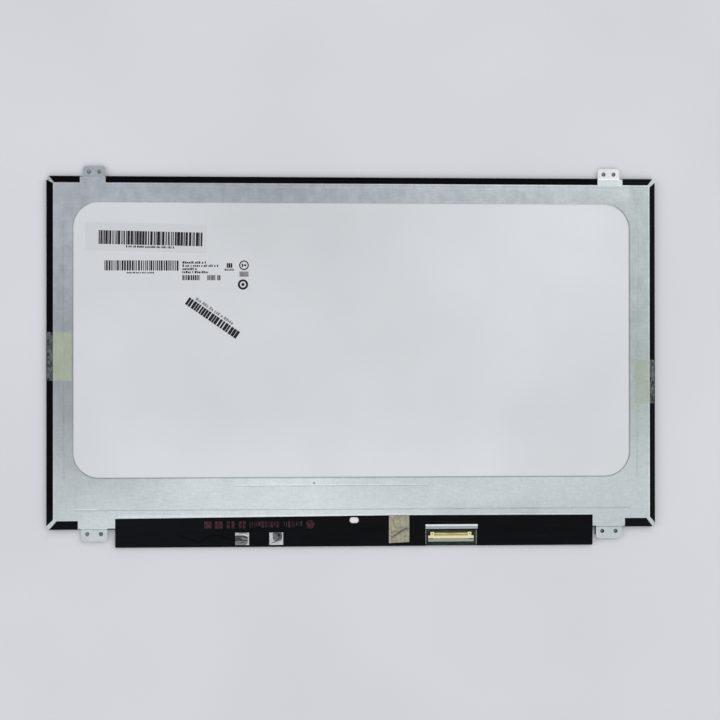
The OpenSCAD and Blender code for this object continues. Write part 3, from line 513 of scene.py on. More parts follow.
class SCREEN_PANEL_OT_stage(PanelStep):
    """Table, soft lamps, world and the camera that looks down on the panel"""

    bl_idname = "screen_panel.stage"
    bl_label = "Stage"

    # Half the table's width, and its top, a hair under the panel, in metres
    TABLE_REACH = 3.0
    TABLE_TOP = -0.00004
    SKY = (0.97, 0.98, 1.0)
    SKY_STRENGTH = 0.40
    # Lamps: place and width in metres, and share of the power
    LAMPS = {
        "overhead_light": ((0.2, -1.15, 1.7), 2.0, 1.0),
        "right_light": ((1.35, 0.95, 1.45), 1.3, 0.85),
        "left_light": ((-1.6, 0.1, 1.1), 1.2, 0.75),
        "far_light": ((0.1, 1.7, 1.2), 1.2, 0.45),
    }
    # Camera: film width and focal length in millimetres, place over the table, and turns in degrees
    FILM_WIDTH = 36.0
    FOCAL_LENGTH = 76.2
    CAMERA_AT = (-0.04234, -0.00514)
    CAMERA_TURNS = (0.2087, -2.9353, -0.0374)

    def execute(self, context):
        scene = context.scene
        scene.view_settings.view_transform = "Standard"
        self.table(scene)
        self.world(scene)
        for name, lamp in self.LAMPS.items():
            self.lamp(scene, name, *lamp)
        self.camera(scene)
        return {"FINISHED"}

    def table(self, scene):
        top = clouded("table_top", 0.55, 160.0, (0.64, 0.655, 0.69), (0.69, 0.705, 0.74), detail=2.0)
        mesh = bpy.data.meshes.new("table")
        side, z = self.TABLE_REACH, self.TABLE_TOP
        corners = [(-side, -side, z), (side, -side, z), (side, side, z), (-side, side, z)]
        mesh.from_pydata(corners, [], [(0, 1, 2, 3)])
        mesh.materials.append(top.material)
        table = bpy.data.objects.new("table", mesh)
        scene.collection.objects.link(table)

    def world(self, scene):
        world = bpy.data.worlds.new("soft_room")
        scene.world = world
        world.use_nodes = True
        sky = world.node_tree.nodes["Background"]
        sky.inputs["Color"].default_value = (*self.SKY, 1.0)
        sky.inputs["Strength"].default_value = self.SKY_STRENGTH

    def lamp(self, scene, name, where, width, share):
        light = bpy.data.lights.new(name, "AREA")
        light.shape = "SQUARE"
        light.size = width
        light.energy = self.sizes.lamp * share
        thing = bpy.data.objects.new(name, light)
        thing.location = where
        thing.rotation_euler = (-thing.location).to_track_quat("-Z", "Y").to_euler()
        scene.collection.objects.link(thing)

    def camera(self, scene):
        lens = bpy.data.cameras.new("camera")
        lens.sensor_width = self.FILM_WIDTH
        lens.lens = self.FOCAL_LENGTH
        lens.clip_start = 0.01
        camera = bpy.data.objects.new("camera", lens)
        camera.location = (*self.CAMERA_AT, self.sizes.camera_height)
        camera.rotation_euler = [math.radians(turn) for turn in self.CAMERA_TURNS]
        scene.collection.objects.link(camera)
        scene.camera = camera


class SCREEN_PANEL_OT_back_plate(PanelStep):
    """Zinc-coated steel of the back plate, with its rolling grain and faint spangle"""

    bl_idname = "screen_panel.back_plate"
    bl_label = "Back Plate"

    # Painted light and shade on the coat, and a few darker marks: X and Y from and to, softness, darkness
    TONES = (
        # Painted shade and light on the lip over the board, which faces away from the lamps, painted shade
        # on the two left ears, and painted light on the ear that is bent up to them
        (42, 75, -101.95, -100.1, 0.2, 0.42),
        (42, 75, -100.1, -98.9, 0.15, -0.20),
        (138, 166, 105.4, 114, 0.2, -0.48),
        (-165, -139, 105.4, 114, 0.3, 0.08),
        (-163, -141, -110, -101.3, 0.3, 0.07),
        # Painted reflection and shade: broad darker and brighter stretches of the four rails
        (-185, -150, -60, 45, 30, 0.46),
        (150, 185, -60, 30, 30, 0.28),
        (-50, 5, 88, 108, 12, 0.08),
        (130, 185, 75, 105, 15, -0.02),
        (95, 190, -120, -85, 15, 0.16),
        (-100, -30, 88, 120, 15, 0.13),
        (28, 150, 88, 120, 20, -0.13),
        (-160, 20, -120, -80, 12, -0.08),
        (-110, -8, -84, -55, 14, -0.17),
        (48, 110, -95.5, -87, 3, 0.10),
        # Painted highlight on the raised band under the window, painted shade along the line below it, and
        # a painted highlight on its lower side
        (-62, 32, -75.2, -71.9, 0.2, -0.04),
        (-74, 48, -75.75, -75.25, 0.15, 0.10),
        (-74, 48, -76.3, -75.75, 0.15, -0.04),
        # Painted shade in the punch mark's dimple and a painted highlight beside it, and a dark speck
        (-23.95, -22.85, -74.85, -73.75, 0.35, 0.62),
        (-22.6, -21.7, -75.1, -73.9, 0.3, -0.08),
        (-163, -162.5, -85.3, -84.8, 0.2, 0.40),
        # Duller rolled lines
        (-150, 165, -89.7, -89.05, 0.12, 0.20),
        (-170.3, -169.1, -72, 77, 0.15, 0.10),
        (168.6, 169.2, -72, 77, 0.12, 0.10),
        # Painted highlights along the plate's edges beside the tapes
        (175.9, 176.6, -95.5, 101.6, 0.08, -0.30),
        (10, 144.5, 101.45, 102.15, 0.08, -0.28),
        (160.5, 176, 101.45, 102.15, 0.08, -0.28),
        (-175.9, -175.2, -95.5, 101.6, 0.08, -0.15),
        (-144.5, 10, 101.45, 102.15, 0.08, -0.12),
        # Painted shade along the folds of the ears, painted light on the root of one and on the plate below
        # it, and a painted highlight along the line above the cover tape
        (-159.8, -144.4, -101.2, -100.75, 0.1, 0.42),
        (144.4, 159.8, -101.2, -100.75, 0.1, 0.42),
        (-158.6, -145.6, 105.5, 106.05, 0.12, 0.35),
        (145, 160.4, 101.3, 105.9, 0.4, -0.30),
        (141, 164, 94, 101.3, 3, -0.10),
        (-138, 141, -94.2, -92.9, 0.3, -0.14),
    )
    # Soft rectangles with another hue: X and Y from and to, softness, factors
    HUES = (
        ((-190, 40, -30, 125, 50), (1.03, 1, 1.095)),
        ((150, 190, -60, 110, 20), (0.97, 1.005, 0.975)),
    )
    # Screw holes of the ears: X, Y, and the inner radius and depth of the dark thread, whose dark colour is
    # painted shade in the hole
    HOLES = (
        (-155.1, 108.5, 1, 0.3), (-149.1, 108.5, 1, 0.3),
        (149.1, 108.5, 0.92, 1.1), (155.1, 108.5, 0.92, 1.1),
        (-156.1, -103.7, 1.05, 0.3), (-148.1, -103.7, 1, 0.6),
        (148.1, -103.7, 0.92, 1.1), (156.1, -103.7, 0.92, 1.1),
    )
    # Outer radius of the threads, and how far below the ears' back they start
    THREAD_R = 1.24
    THREAD_DOWN = 0.03

    def execute(self, context):
        light, dark = self.finish.zinc, self.finish.zinc_dark
        zinc = Finish("zinc_coated_steel", light, 0.42, metallic=1.0)
        spangle = zinc.noise(5.0, 4.0, stretch=(1.0, 1.6, 1.0), roughness=0.6)
        grain = zinc.noise(0.8, 3.0, stretch=(8.0, 1.0, 1.0))
        flecks = zinc.noise(1.3, 3.0, stretch=(1.0, 1.5, 1.0), roughness=0.6)
        tone = zinc.mix(0.45, zinc.mix(0.65, spangle, grain), flecks)
        coat = zinc.ramp(tone, (0.34, shade(dark, 1.03)), (0.66, shade(light, 0.97)))
        # Painted light and shade, and a few darker marks, on the coat
        coat = zinc.shade_rects(coat, self.TONES)
        for area, factors in self.HUES:
            coat = zinc.tinted(coat, zinc.patch(*area), factors)
        zinc.color(zinc.shaded(coat, zinc.window_line(-0.5, 0.0, 0.42)))
        zinc.rough(zinc.spread(spangle, 0.3, 0.7, 0.34, 0.42))
        zinc.bump(grain, 0.0025)
        zinc.bump(zinc.noise(2.2, 2.0), 0.006)
        dress(zinc, "back_plate")
        self.threads()
        return {"FINISHED"}

    def threads(self):
        """Threaded lining of the screw holes, coloured dark as painted shade inside them."""
        # The dark colour stands in for the shade down in the holes
        low, high = (0.07, 0.073, 0.078), (0.15, 0.155, 0.16)
        steel = clouded("thread_steel_and_shade", 0.5, 0.3, low, high, detail=2.0, metallic=0.6)
        top = EAR_BACK - self.THREAD_DOWN
        parts = [ring(x, y, self.THREAD_R, inner, top - depth, depth) for x, y, inner, depth in self.HOLES]
        piece("ear_threads_and_shade", *joined(*parts), steel, "zinc_coated_steel", smooth=True)


class SCREEN_PANEL_OT_sheets(PanelStep):
    """Glass, polarizers, backlight sheets and the frame that holds them"""

    bl_idname = "screen_panel.sheets"
    bl_label = "Glass and Sheets"

    # Painted light and shade on the white sheet, in broad brighter and darker zones: X and Y from and to,
    # softness, darkness
    REFLECTOR_TONES = (
        (-85, 20, 50, 110, 30, 0.07),
        (60, 180, 10, 120, 40, -0.09),
        (-150, 90, -85, -46, 14, -0.06),
    )

    def execute(self, context):
        white = self.finish.reflector
        reflector = Finish("white_reflector", white, 0.38)
        cloud = reflector.mottle(60.0, shade(white, 0.97), shade(white, 1.02), 2.0)
        # Painted light and shade in broad zones of the sheet
        cloud = reflector.shade_rects(cloud, self.REFLECTOR_TONES)
        reflector.color(reflector.shaded(cloud, reflector.window_line(0.0, 0.14, 0.45)))
        reflector.bump(reflector.noise(45.0, 1.0), 0.12)
        reflector.bump(reflector.noise(0.35, 2.0), 0.002)
        dress(reflector, "reflector_sheet")

        clouded(
            "polarizer_film", 0.3, 25.0, (0.010, 0.010, 0.014), (0.015, 0.014, 0.019),
            ("front_polarizer", "rear_polarizer"), relief=(0.06, 2.0, 0.0015), ior=1.49,
        )
        clouded(
            "display_glass", 0.06, 12.0, (0.27, 0.33, 0.32), (0.33, 0.39, 0.38),
            ("colour_glass", "tft_glass"), ior=1.52,
        )
        clouded(
            "white_frame_plastic", 0.5, 8.0, (0.68, 0.68, 0.67), (0.72, 0.72, 0.71),
            ("mid_frame",), relief=(0.3, 3.0, 0.006),
        )

        prism = Finish("prism_film", (0.74, 0.77, 0.79), 0.22)
        prism.bump(prism.waves("Y", 6.0), 0.01)
        dress(prism, "upper_prism_sheet", "lower_prism_sheet")

        milky = Finish("diffuser_film", (0.80, 0.81, 0.82), 0.6)
        milky.bump(milky.noise(0.2, 2.0), 0.004)
        dress(milky, "diffuser_sheet")

        guide = Finish("clear_acrylic", (0.72, 0.78, 0.78), 0.08, ior=1.49)
        dots = guide.spread(guide.cells(1.2), 0.15, 0.25)
        guide.color(guide.mix(dots, (0.86, 0.88, 0.88), (0.68, 0.75, 0.75)))
        dress(guide, "light_guide")
        return {"FINISHED"}


def black_tape(name, color, sheens=(), drawn=1.0):
    """Matt polyester tape with faint waves and dust, drawn out along X by drawn.
    sheens gives areas with a painted sheen that makes them greyer, and their factors."""
    tape = Finish(name, color, 0.6, specular_ior_level=0.04)
    cloud = tape.noise(3.0, 4.0, stretch=(drawn, 1.0, 1.0))
    coat = tape.ramp(cloud, (0.3, shade(color, 0.8)), (0.62, color), (0.85, shade(color, 1.9)))
    for area, factors in sheens:
        coat = tape.tinted(coat, tape.patch(*area), factors)
    tape.color(coat)
    tape.rough(tape.spread(tape.noise(6.0, 3.0), 0.3, 0.7, 0.5, 0.65))
    tape.bump(tape.noise(4.0, 2.0), 0.03)
    tape.bump(tape.noise(0.4, 2.0), 0.004)
    return tape


class SCREEN_PANEL_OT_edge_tapes(PanelStep):
    """Black tapes round the edges and over the driver films and the board"""

    bl_idname = "screen_panel.edge_tapes"
    bl_label = "Edge Tapes"

    # Painted sheen, greyer stretches of the tape: X and Y from and to, softness, factors
    SHEENS = (
        ((150, 190, -130, 130, 12), (3.5, 4, 4)),
        ((-190, -140, -120, -92, 8), (2.5, 3.2, 3.6)),
    )
    # Painted sheen on the cover tape's left end
    COVER_SHEENS = (((-160, -95, -130, -80, 18), (1.35, 1.32, 1.3)),)
    # Corners of a creased line in the cover tape, its half width and its height
    CREASE = ((-102.4, -105.0), (-91.2, -108.9), (-83.5, -104.7), (-78.1, -105.2), (-70.5, -107.9))
    CREASE_HALF = 0.14
    CREASE_RISE = 0.006
    # Thin black strip beside one ear, its depth under the ears' back, and its thickness
    EAR_STRIP = (143.5, 144.1, -105.6, -100.7)
    EAR_STRIP_DOWN = 0.07
    EAR_STRIP_THICK = 0.05

    def execute(self, context):
        color = self.finish.tape
        dress(
            black_tape("black_tape", color, self.SHEENS),
            "edge_tape_top", "edge_tape_left", "edge_tape_right", "driver_tape", "rim_tape",
        )
        ear_black = black_tape("ear_strip_black", color)
        shape = plates([self.EAR_STRIP], EAR_BACK - self.EAR_STRIP_DOWN, self.EAR_STRIP_THICK)
        piece("ear_side_strip", *shape, ear_black, "black_tape")
        cover = black_tape("black_cover_film", self.finish.cover, self.COVER_SHEENS, 9.0)
        cover.bump(cover.noise(9.0, 3.0, stretch=(3.0, 1.0, 1.0), turn=0.2), 0.25)
        dress(cover, "board_cover_tape")
        # The creases are painted darker, as shade along them
        self.creases(shade(color, 0.6))
        return {"FINISHED"}

    def creases(self, color):
        """Sharp low creases in the cover tape, painted darker than the tape as the shade along them."""
        parts = []
        for (x0, y0), (x1, y1) in zip(self.CREASE, self.CREASE[1:]):
            half = math.hypot(x1 - x0, y1 - y0) / 2
            place = turned((x0 + x1) / 2, (y0 + y1) / 2, math.atan2(y1 - y0, x1 - x0))
            rect = (-half, half, -self.CREASE_HALF, self.CREASE_HALF)
            parts.append(plates([rect], TAPE_BACK, self.CREASE_RISE, place))
        piece("cover_tape_creases", *joined(*parts), black_tape("crease_shade_black", color), "black_cover_film")


class SCREEN_PANEL_OT_side_tapes(PanelStep):
    """Thin translucent tapes that cross the black edge tapes, crumpled where they do"""

    bl_idname = "screen_panel.side_tapes"
    bl_label = "Side Tapes"

    # Node, visible width of the black tape under it, strength of its tint, seed of its creases
    TAPES = (("side_tape_left", 3.9, 1.0, 3), ("side_tape_right", 3.2, 0.43, 11))

    FOLDS = 26
    THICK = 0.012
    # Grid across and along a tape
    GRID = (90, 120)
    # The step onto the black tape starts this far in from its edge, and its width
    STEP_IN = 0.3
    STEP_WIDTH = 0.25

    def execute(self, context):
        for values in self.TAPES:
            self.tape(*values)
        return {"FINISHED"}

    def tape(self, name, flap, strength, seed):
        low, high = box_mm(name)
        edge = box_mm("edge_tape_right")[1][0] - flap
        rng = random.Random(seed)
        folds = [
            (
                rng.uniform(edge, edge + flap),
                rng.uniform(low[1], high[1]),
                rng.uniform(-0.9, 0.9),
                rng.uniform(0.25, 0.6),
                rng.uniform(1.0, 2.4),
            )
            for _ in range(self.FOLDS)
        ]
        crumple = self.sizes.side_crease / MM

        def under_side(x, y):
            step = clamp((abs(x) - (edge - self.STEP_IN)) / self.STEP_WIDTH)
            base = PLATE_BACK + AIR + (TAPE_BACK - PLATE_BACK) * step
            if step < 1.0:
                return base
            return base + crumple * ridges(abs(x), y, folds)

        shape = film(low, high, self.GRID, under_side, self.THICK)
        finish = self.material(name, edge, strength)
        piece(name + "_film", *shape, finish, "yellow_green_tape", (name,), smooth=True)

    def material(self, name, edge, strength):
        tint = self.finish.side_tape
        tape = Finish(name + "_film", tint, 0.35)
        side = tape.math("ABSOLUTE", tape.along("X"))
        outer = tape.spread(side, edge - 0.1, edge + 0.2)
        patches = tape.noise(1.9, 4.0, stretch=(0.7, 1.5, 1.0), roughness=0.65)
        streaks = tape.noise(1.6, 2.0, stretch=(1.0, 8.0, 1.0))
        green = tape.ramp(streaks, (0.3, shade(tint, 0.90)), (0.7, shade(tint, 1.05)))
        flecks = tape.spread(tape.noise(0.9, 3.0, stretch=(1.0, 1.4, 1.0)), 0.64, 0.74)
        tape.color(tape.mix(outer, green, tape.mix(flecks, (0.26, 0.31, 0.30), (0.75, 0.8, 0.8))))
        # Over the black tape it is clear towards the plate and duller towards the edge
        fade = tape.spread(side, edge, edge + 2.6, 0.6, 1.0)
        dull = tape.times(tape.spread(patches, 0.36, 0.64, 0.0, 0.44), fade)
        dull = tape.math("ADD", dull, tape.times(flecks, 0.40))
        coat = tape.spread(patches, 0.3, 0.7, 0.30 * strength, 0.37 * strength)
        gap = tape.math("SUBTRACT", dull, coat)
        tape.put("Alpha", tape.math("ADD", coat, tape.times(gap, outer)))
        tape.bump(tape.noise(1.1, 4.0, stretch=(0.8, 1.3, 1.0)), 0.05)
        return tape


class SCREEN_PANEL_OT_cover_patch(PanelStep):
    """Creased khaki tape over the backlight's tail"""

    bl_idname = "screen_panel.cover_patch"
    bl_label = "Cover Patch"

    # Folds from the patch's lower left corner: place, angle, half width, half length, and darkness of the
    # painted shade along them (below 0, brightness of a painted highlight)
    FOLDS = (
        (5.9, 6.2, 0.529, 1.15, 6.8, 0.64),
        (3.2, 6.9, 0.25, 0.60, 3, 0.42),
        (10.4, 8.6, 0.10, 0.60, 1.7, 0.30),
        (8.2, 3.3, 0.45, 0.40, 2, 0.20),
        (6, 7.5, 0.50, 0.50, 5, -0.14),
        (3.2, 5.3, 0.35, 0.45, 2.6, -0.10),
        (7.4, 1.9, 0.15, 0.50, 2.6, -0.08),
    )
    THICK = 0.05
    GRID = (110, 150)
    # Y from and to of the slope up onto the cover tape's high part
    SLOPE = (-103.2, -102.1)
    # The folds flatten out over this length below the slope
    FLAT_OUT = 1.2
    # Width and brightness of the painted highlight along the rim
    RIM_WIDTH = 0.45
    RIM_SHINE = 0.28
    # The lower edge runs askew by this much, over this length
    SKEW = 0.55
    SKEW_LENGTH = 4.0

    def execute(self, context):
        low, high = box_mm("cover_patch")
        x0, y0, x1 = low[0], low[1], high[0]
        slope_low, slope_high = self.SLOPE
        floor = box_mm("foil_pad_left")[0][2]
        folds = [(x0 + u, y0 + v, *rest) for u, v, *rest in self.FOLDS]
        rise = self.sizes.patch_crease / MM

        def under_side(x, y):
            share = clamp((y - slope_low) / (slope_high - slope_low))
            base = floor + AIR + (TAPE_BACK - floor) * share
            return base + rise * clamp((slope_low - y) / self.FLAT_OUT) * ridges(x, y, folds)

        # Painted shade along the folds, and a painted highlight along the rim
        def tone(x, y):
            rim = 1.0 - min(1.0, min(x - x0, x1 - x, y - y0 - 0.1) / self.RIM_WIDTH)
            return fold_shade(x, y, folds) - self.RIM_SHINE * rim

        def warp(x, y):
            lift = self.SKEW * max(0.0, 1 - (y - y0) / self.SKEW_LENGTH)
            return x, y + lift * (x - x0) / (x1 - x0)

        shape = film(low, high, self.GRID, under_side, self.THICK, warp)
        tint = self.finish.patch
        khaki = Finish("khaki_tape", tint, 0.38)
        mottle = khaki.noise(2.4, 4.0, stretch=(1.0, 0.8, 1.0), roughness=0.6)
        fine = khaki.noise(0.5, 3.0)
        streaks = khaki.noise(0.8, 2.0, stretch=(1.0, 5.0, 1.0))
        cloth = khaki.ramp(
            khaki.mix(0.35, khaki.mix(0.3, mottle, fine), streaks),
            (0.34, shade(tint, 0.52)), (0.5, tint), (0.66, shade(tint, 1.45)),
        )
        khaki.color(khaki.shaded(cloth, khaki.tone()))
        khaki.bump(mottle, 0.08)
        khaki.bump(fine, 0.02)
        piece("cover_patch_film", *shape, khaki, "khaki_tape", ("cover_patch",), True, tone)
        return {"FINISHED"}


class SCREEN_PANEL_OT_foil_pads(PanelStep):
    """Two crinkled foil pads on the cover tape"""

    bl_idname = "screen_panel.foil_pads"
    bl_label = "Foil Pads"

    # Folds of each pad from its lower left corner: place, angle, half width, half length, and darkness of
    # the painted shade along them (below 0, brightness of a painted highlight)
    FOLDS = {
        "foil_pad_left": (
            (3.6, 5.2, -0.07, 0.38, 4.6, 0.80), (6.5, 4.4, -0.45, 0.44, 1.5, 0.75),
            (1.4, 4.1, -0.05, 0.32, 2.3, 0.80), (0.9, 3.1, 0.25, 0.36, 1.6, 0.75),
            (5.2, 2.8, -0.10, 0.40, 2.9, 0.80), (3.9, 1.5, 0.20, 0.24, 1.9, 0.55),
            (4.6, 6.1, -0.05, 0.40, 3.4, -0.35),
        ),
        "foil_pad_right": (
            (3.1, 1.8, 0.38, 0.34, 2.3, 0.80), (5.4, 3.6, 0.80, 0.35, 1.6, 0.25),
            (4.2, 6.7, 0.05, 0.30, 3, 0.20), (6.9, 4.6, 1.50, 0.30, 2.2, 0.25),
        ),
    }
    # Painted shade in darker parts of each pad: place, half width, half height, darkness
    POOLS = {
        "foil_pad_left": (
            (3, 2.7, 4.7, 3.5, 0.63), (4.5, 7, 2.7, 0.8, 0.42), (1.8, 3.6, 2.4, 1.5, 0.14),
        ),
        "foil_pad_right": ((4.7, 5.2, 3.0, 3.3, 0.71), (5.6, 5.8, 0.95, 1.0, 0.31)),
    }
    # Most painted shade that a place of a pad takes
    DARKEST = 0.93
    THICK = 0.04
    GRID = (90, 80)

    def execute(self, context):
        for name, folds in self.FOLDS.items():
            self.pad(name, folds, self.POOLS[name])
        return {"FINISHED"}

    def pad(self, name, folds, pools):
        low, high = box_mm(name)
        x0, y0, z0 = low
        rise = self.sizes.foil_crease / MM

        def under_side(x, y):
            return z0 + AIR + rise * ridges(x - x0, y - y0, folds)

        # Painted shade along the folds and in the darker parts
        def tone(x, y):
            u, v = x - x0, y - y0
            return min(self.DARKEST, fold_shade(u, v, folds) + sum(pool(u, v, spot) for spot in pools))

        shape = film(low, high, self.GRID, under_side, self.THICK)
        metal = self.finish.foil
        foil = Finish(name, metal, 0.3, metallic=1.0)
        worn = foil.noise(1.4, 4.0, stretch=(1.6, 0.8, 1.0), roughness=0.6, turn=0.25)
        foil.color(foil.shaded(foil.ramp(worn, (0.35, shade(metal, 0.72)), (0.62, metal)), foil.tone()))
        foil.rough(foil.spread(worn, 0.35, 0.65, 0.26, 0.42))
        foil.bump(worn, 0.02)
        foil.bump(foil.noise(0.35, 3.0), 0.006)
        piece(name + "_sheet", *shape, foil, "silver_foil", (name,), True, tone)


class SCREEN_PANEL_OT_labels(PanelStep):
    """Printed labels on the reflector, with plain bars and rows of small blocks"""

    bl_idname = "screen_panel.labels"
    bl_label = "Labels"

    # Middle and turn in degrees of each label's print
    LARGE = (-121.8, 70.1, -1.2)
    MIDDLE = (-106, 49.2, 0)
    SLANTED = (-83, 22.8, -34.7)
    # Rows from that middle: bars are X and Y from and to, then widths and gaps in narrow bars,
    # and words are X from and to, Y and height
    LARGE_ROWS = (
        (-27.6, 32.9, -4.5, 3.55, (1.2, 1.6, 2, 3, 4, 5), (0.6, 0.8, 1, 1.7)),
        (-11.6, 17.6, -6.2, 1.2),
    )
    MIDDLE_ROWS = (
        (-40, 3.8, 1.4, 7.35, (1.4, 2, 3), (1, 1.3, 1.7)),
        (-27.1, -10.6, -0.3, 0.9),
        (5.4, 20.4, 5.5, 1.4),
        (5.4, 27.6, 3.62, 1.4),
        (5.4, 15.1, 1.74, 1.4),
        (5.4, 21.5, -0.14, 1.4),
        (5.4, 9.4, -4.2, -1.2, (1.6, 2, 2.4), (0.8, 1)),
        (10.2, 15.7, -4.2, -1.2, (1.6, 2, 2.4), (0.8, 1)),
        (20, 24.6, -4.2, -1.2, (1.6, 2, 2.4), (0.8, 1)),
        (25.8, 27.6, -4.2, -1.2, (1.6, 2, 2.4), (0.8, 1)),
        (31.3, 34.6, 3.1, 5.9, (2.2, 2.8, 3.2), (0.5, 0.6)),
        (30.1, 36.6, 1.5, 1.1),
    )
    SLANTED_ROWS = ((-18, 18, -2.4, 2.4, (3.4, 4.2, 5), (0.7, 1.7)),)
    SLANTED_WORDS = ((-14.4, 12.6, 3.2, 1.7),)
    # Plain blocks and the pale field of the middle label
    BLOCKS = [(40.1, 41, 3.7, 5.6), (41.5, 42.8, 4.1, 5.2)]
    FIELD = (38.8, 44.1, -2.1, 1)
    # Round marks: X, Y, outer and inner radius
    RINGS = ((-64.56, 53.85, 2.85, 2.15), (-65.15, 42.55, 3.05, 1.8), (-65.15, 42.55, 0.95, 0.0))
    RING_THICK = 0.01

    def execute(self, context):
        paper = self.finish.label
        clouded(
            "label_film", 0.4, 14.0, shade(paper, 0.98), paper, ("label_large",), relief=(0.5, 3.0, 0.004)
        )
        sheet = self.finish.reflector
        clouded(
            "clear_label_film", 0.4, 8.0, shade(sheet, 0.97), shade(sheet, 0.99),
            ("label_middle", "label_slanted"),
        )
        dark = self.finish.ink
        low, high = shade(dark, 0.7), shade(dark, 1.7)
        ink = clouded("label_ink", 0.6, 1.2, low, high, specular_ior_level=0.1)
        low, high = (0.16, 0.16, 0.175), (0.30, 0.30, 0.32)
        pale = clouded("pale_label_ink", 0.6, 0.8, low, high, detail=2.0, specular_ior_level=0.1)

        rng = random.Random(self.sizes.print_seed)
        self.print("large_label_print", self.rows(rng, self.LARGE_ROWS), self.LARGE, ink)
        self.print("middle_label_print", self.rows(rng, self.MIDDLE_ROWS) + self.BLOCKS, self.MIDDLE, ink)
        rings = joined(*(ring(*mark, LABEL_BACK, self.RING_THICK) for mark in self.RINGS))
        piece("middle_label_rings", *rings, ink, "label_film")
        self.print("middle_label_field", [self.FIELD], self.MIDDLE, pale)
        self.print("slanted_label_print", self.rows(rng, self.SLANTED_ROWS), self.SLANTED, ink)
        self.print("slanted_label_words", self.rows(rng, self.SLANTED_WORDS), self.SLANTED, pale)
        return {"FINISHED"}

    def rows(self, rng, table):
        """Blocks of a print's rows."""
        rects = []
        for x0, x1, y, size, *pattern in table:
            if pattern:
                rects += bars(rng, x0, x1, y, size, self.sizes.bar / MM, *pattern)
            else:
                rects += words(rng, x0, x1, y, size)
        return rects

    def print(self, name, rects, place, ink):
        """Blocks of ink on a label, laid out from the place of its print."""
        x, y, turn = place
        shape = plates(rects, LABEL_BACK, PRINT, turned(x, y, math.radians(turn)))
        piece(name, *shape, ink, "label_film")


class SCREEN_PANEL_OT_cover_print(PanelStep):
    """Faint red row of plain blocks on the cover tape"""

    bl_idname = "screen_panel.cover_print"
    bl_label = "Cover Print"

    # Fields from X to X
    FIELDS = (
        (-87.9, -83.6), (-81.7, -77.1), (-74.7, -72.9), (-71.9, -70.2), (-67.7, -66), (-65.3, -63.7),
    )
    # Spans of the upright blocks, their widths and gaps, and how far up they start
    SPANS = ((-61.4, -43.5), (-41.2, -30.6))
    WIDTHS = (0.5, 0.6, 0.8, 1.3)
    GAPS = (0.6, 0.75, 0.9)
    LIFTS = (0.4, 0.4, 1.3)
    # Y from and to of the row, and the place and radius of the round spot at its end
    ROW = (-100.8, -96.5)
    SPOT_X = -25.6
    SPOT_R = 2.5

    def execute(self, context):
        red = self.finish.red_ink
        ink = Finish("red_ink", red, 0.6, specular_ior_level=0.05)
        ink.color(ink.ramp(ink.noise(1.1, 3.0), (0.34, shade(red, 0.25)), (0.68, shade(red, 1.2))))
        low, high = self.ROW
        rects = [(x0, x1, low, high) for x0, x1 in self.FIELDS]
        rng = random.Random(self.sizes.print_seed + 1)
        for start, stop in self.SPANS:
            x = start
            while x < stop - 0.8:
                w = rng.choice(self.WIDTHS)
                rects.append((x, x + w, low + rng.choice(self.LIFTS), high - 0.3))
                x += w + rng.choice(self.GAPS)
        spot = ring(self.SPOT_X, (low + high) / 2, self.SPOT_R, 0.0, TAPE_BACK, PRINT)
        shape = joined(plates(rects, TAPE_BACK, PRINT), spot)
        piece("cover_tape_print", *shape, ink, "black_cover_film")
        return {"FINISHED"}


class SCREEN_PANEL_OT_board(PanelStep):
    """Control board, its chips and small pieces, and the driver films"""

    bl_idname = "screen_panel.board"
    bl_label = "Control Board"

    def execute(self, context):
        mask = self.finish.board
        board = Finish("green_board", mask, 0.45, specular_ior_level=0.15)
        tracks = board.spread(board.cells(2.6, "DISTANCE_TO_EDGE", (3.0, 1.0, 1.0)), 0.03, 0.09)
        ground = board.mottle(6.0, shade(mask, 0.85), shade(mask, 1.1))
        board.color(board.mix(tracks, shade(mask, 1.9), ground))
        board.bump(tracks, 0.02)
        dress(board, "control_board")

        clouded(
            "chip_resin", 0.5, 2.0, (0.015, 0.015, 0.016), (0.023, 0.023, 0.025),
            ("timing_chip", "power_chip", "backlight_chip", "memory_chip"), relief=(0.15, 2.0, 0.006),
        )
        clouded("ceramic_body", 0.35, 1.5, (0.30, 0.22, 0.13), (0.42, 0.33, 0.22), ("board_capacitors",))

        silicon = Finish("chip_silicon", (0.03, 0.03, 0.034), 0.14)
        grid = silicon.cells(0.8)
        silicon.color(silicon.ramp(grid, (0.1, (0.025, 0.025, 0.03)), (0.8, (0.04, 0.04, 0.046))))
        dress(silicon, "driver_chip_1", "driver_chip_2", "driver_chip_3", "driver_chip_4")

        ferrite = Finish("ferrite", (0.055, 0.055, 0.06), 0.6)
        ferrite.bump(ferrite.noise(0.3, 3.0), 0.02)
        dress(ferrite, "inductor_left", "inductor_right")

        gold = Finish("gold_plating", (0.83, 0.61, 0.28), 0.22, metallic=1.0)
        gold.rough(gold.spread(gold.noise(1.0), 0.3, 0.7, 0.18, 0.3))
        dress(gold, "ground_pads")

        amber = Finish("amber_circuit_film", (0.30, 0.13, 0.025), 0.25)
        lines = amber.waves("X", 1.4)
        strips = amber.ramp(lines, (0.4, (0.26, 0.11, 0.02)), (0.6, (0.46, 0.24, 0.09)))
        # The stretch between the body and the board lies in the dark
        amber.color(amber.shaded(strips, amber.times(amber.inside("Y", -106.0, -101.0), 0.93)))
        amber.bump(lines, 0.01)
        dress(amber, "driver_film_1", "driver_film_2", "driver_film_3", "driver_film_4")
        return {"FINISHED"}


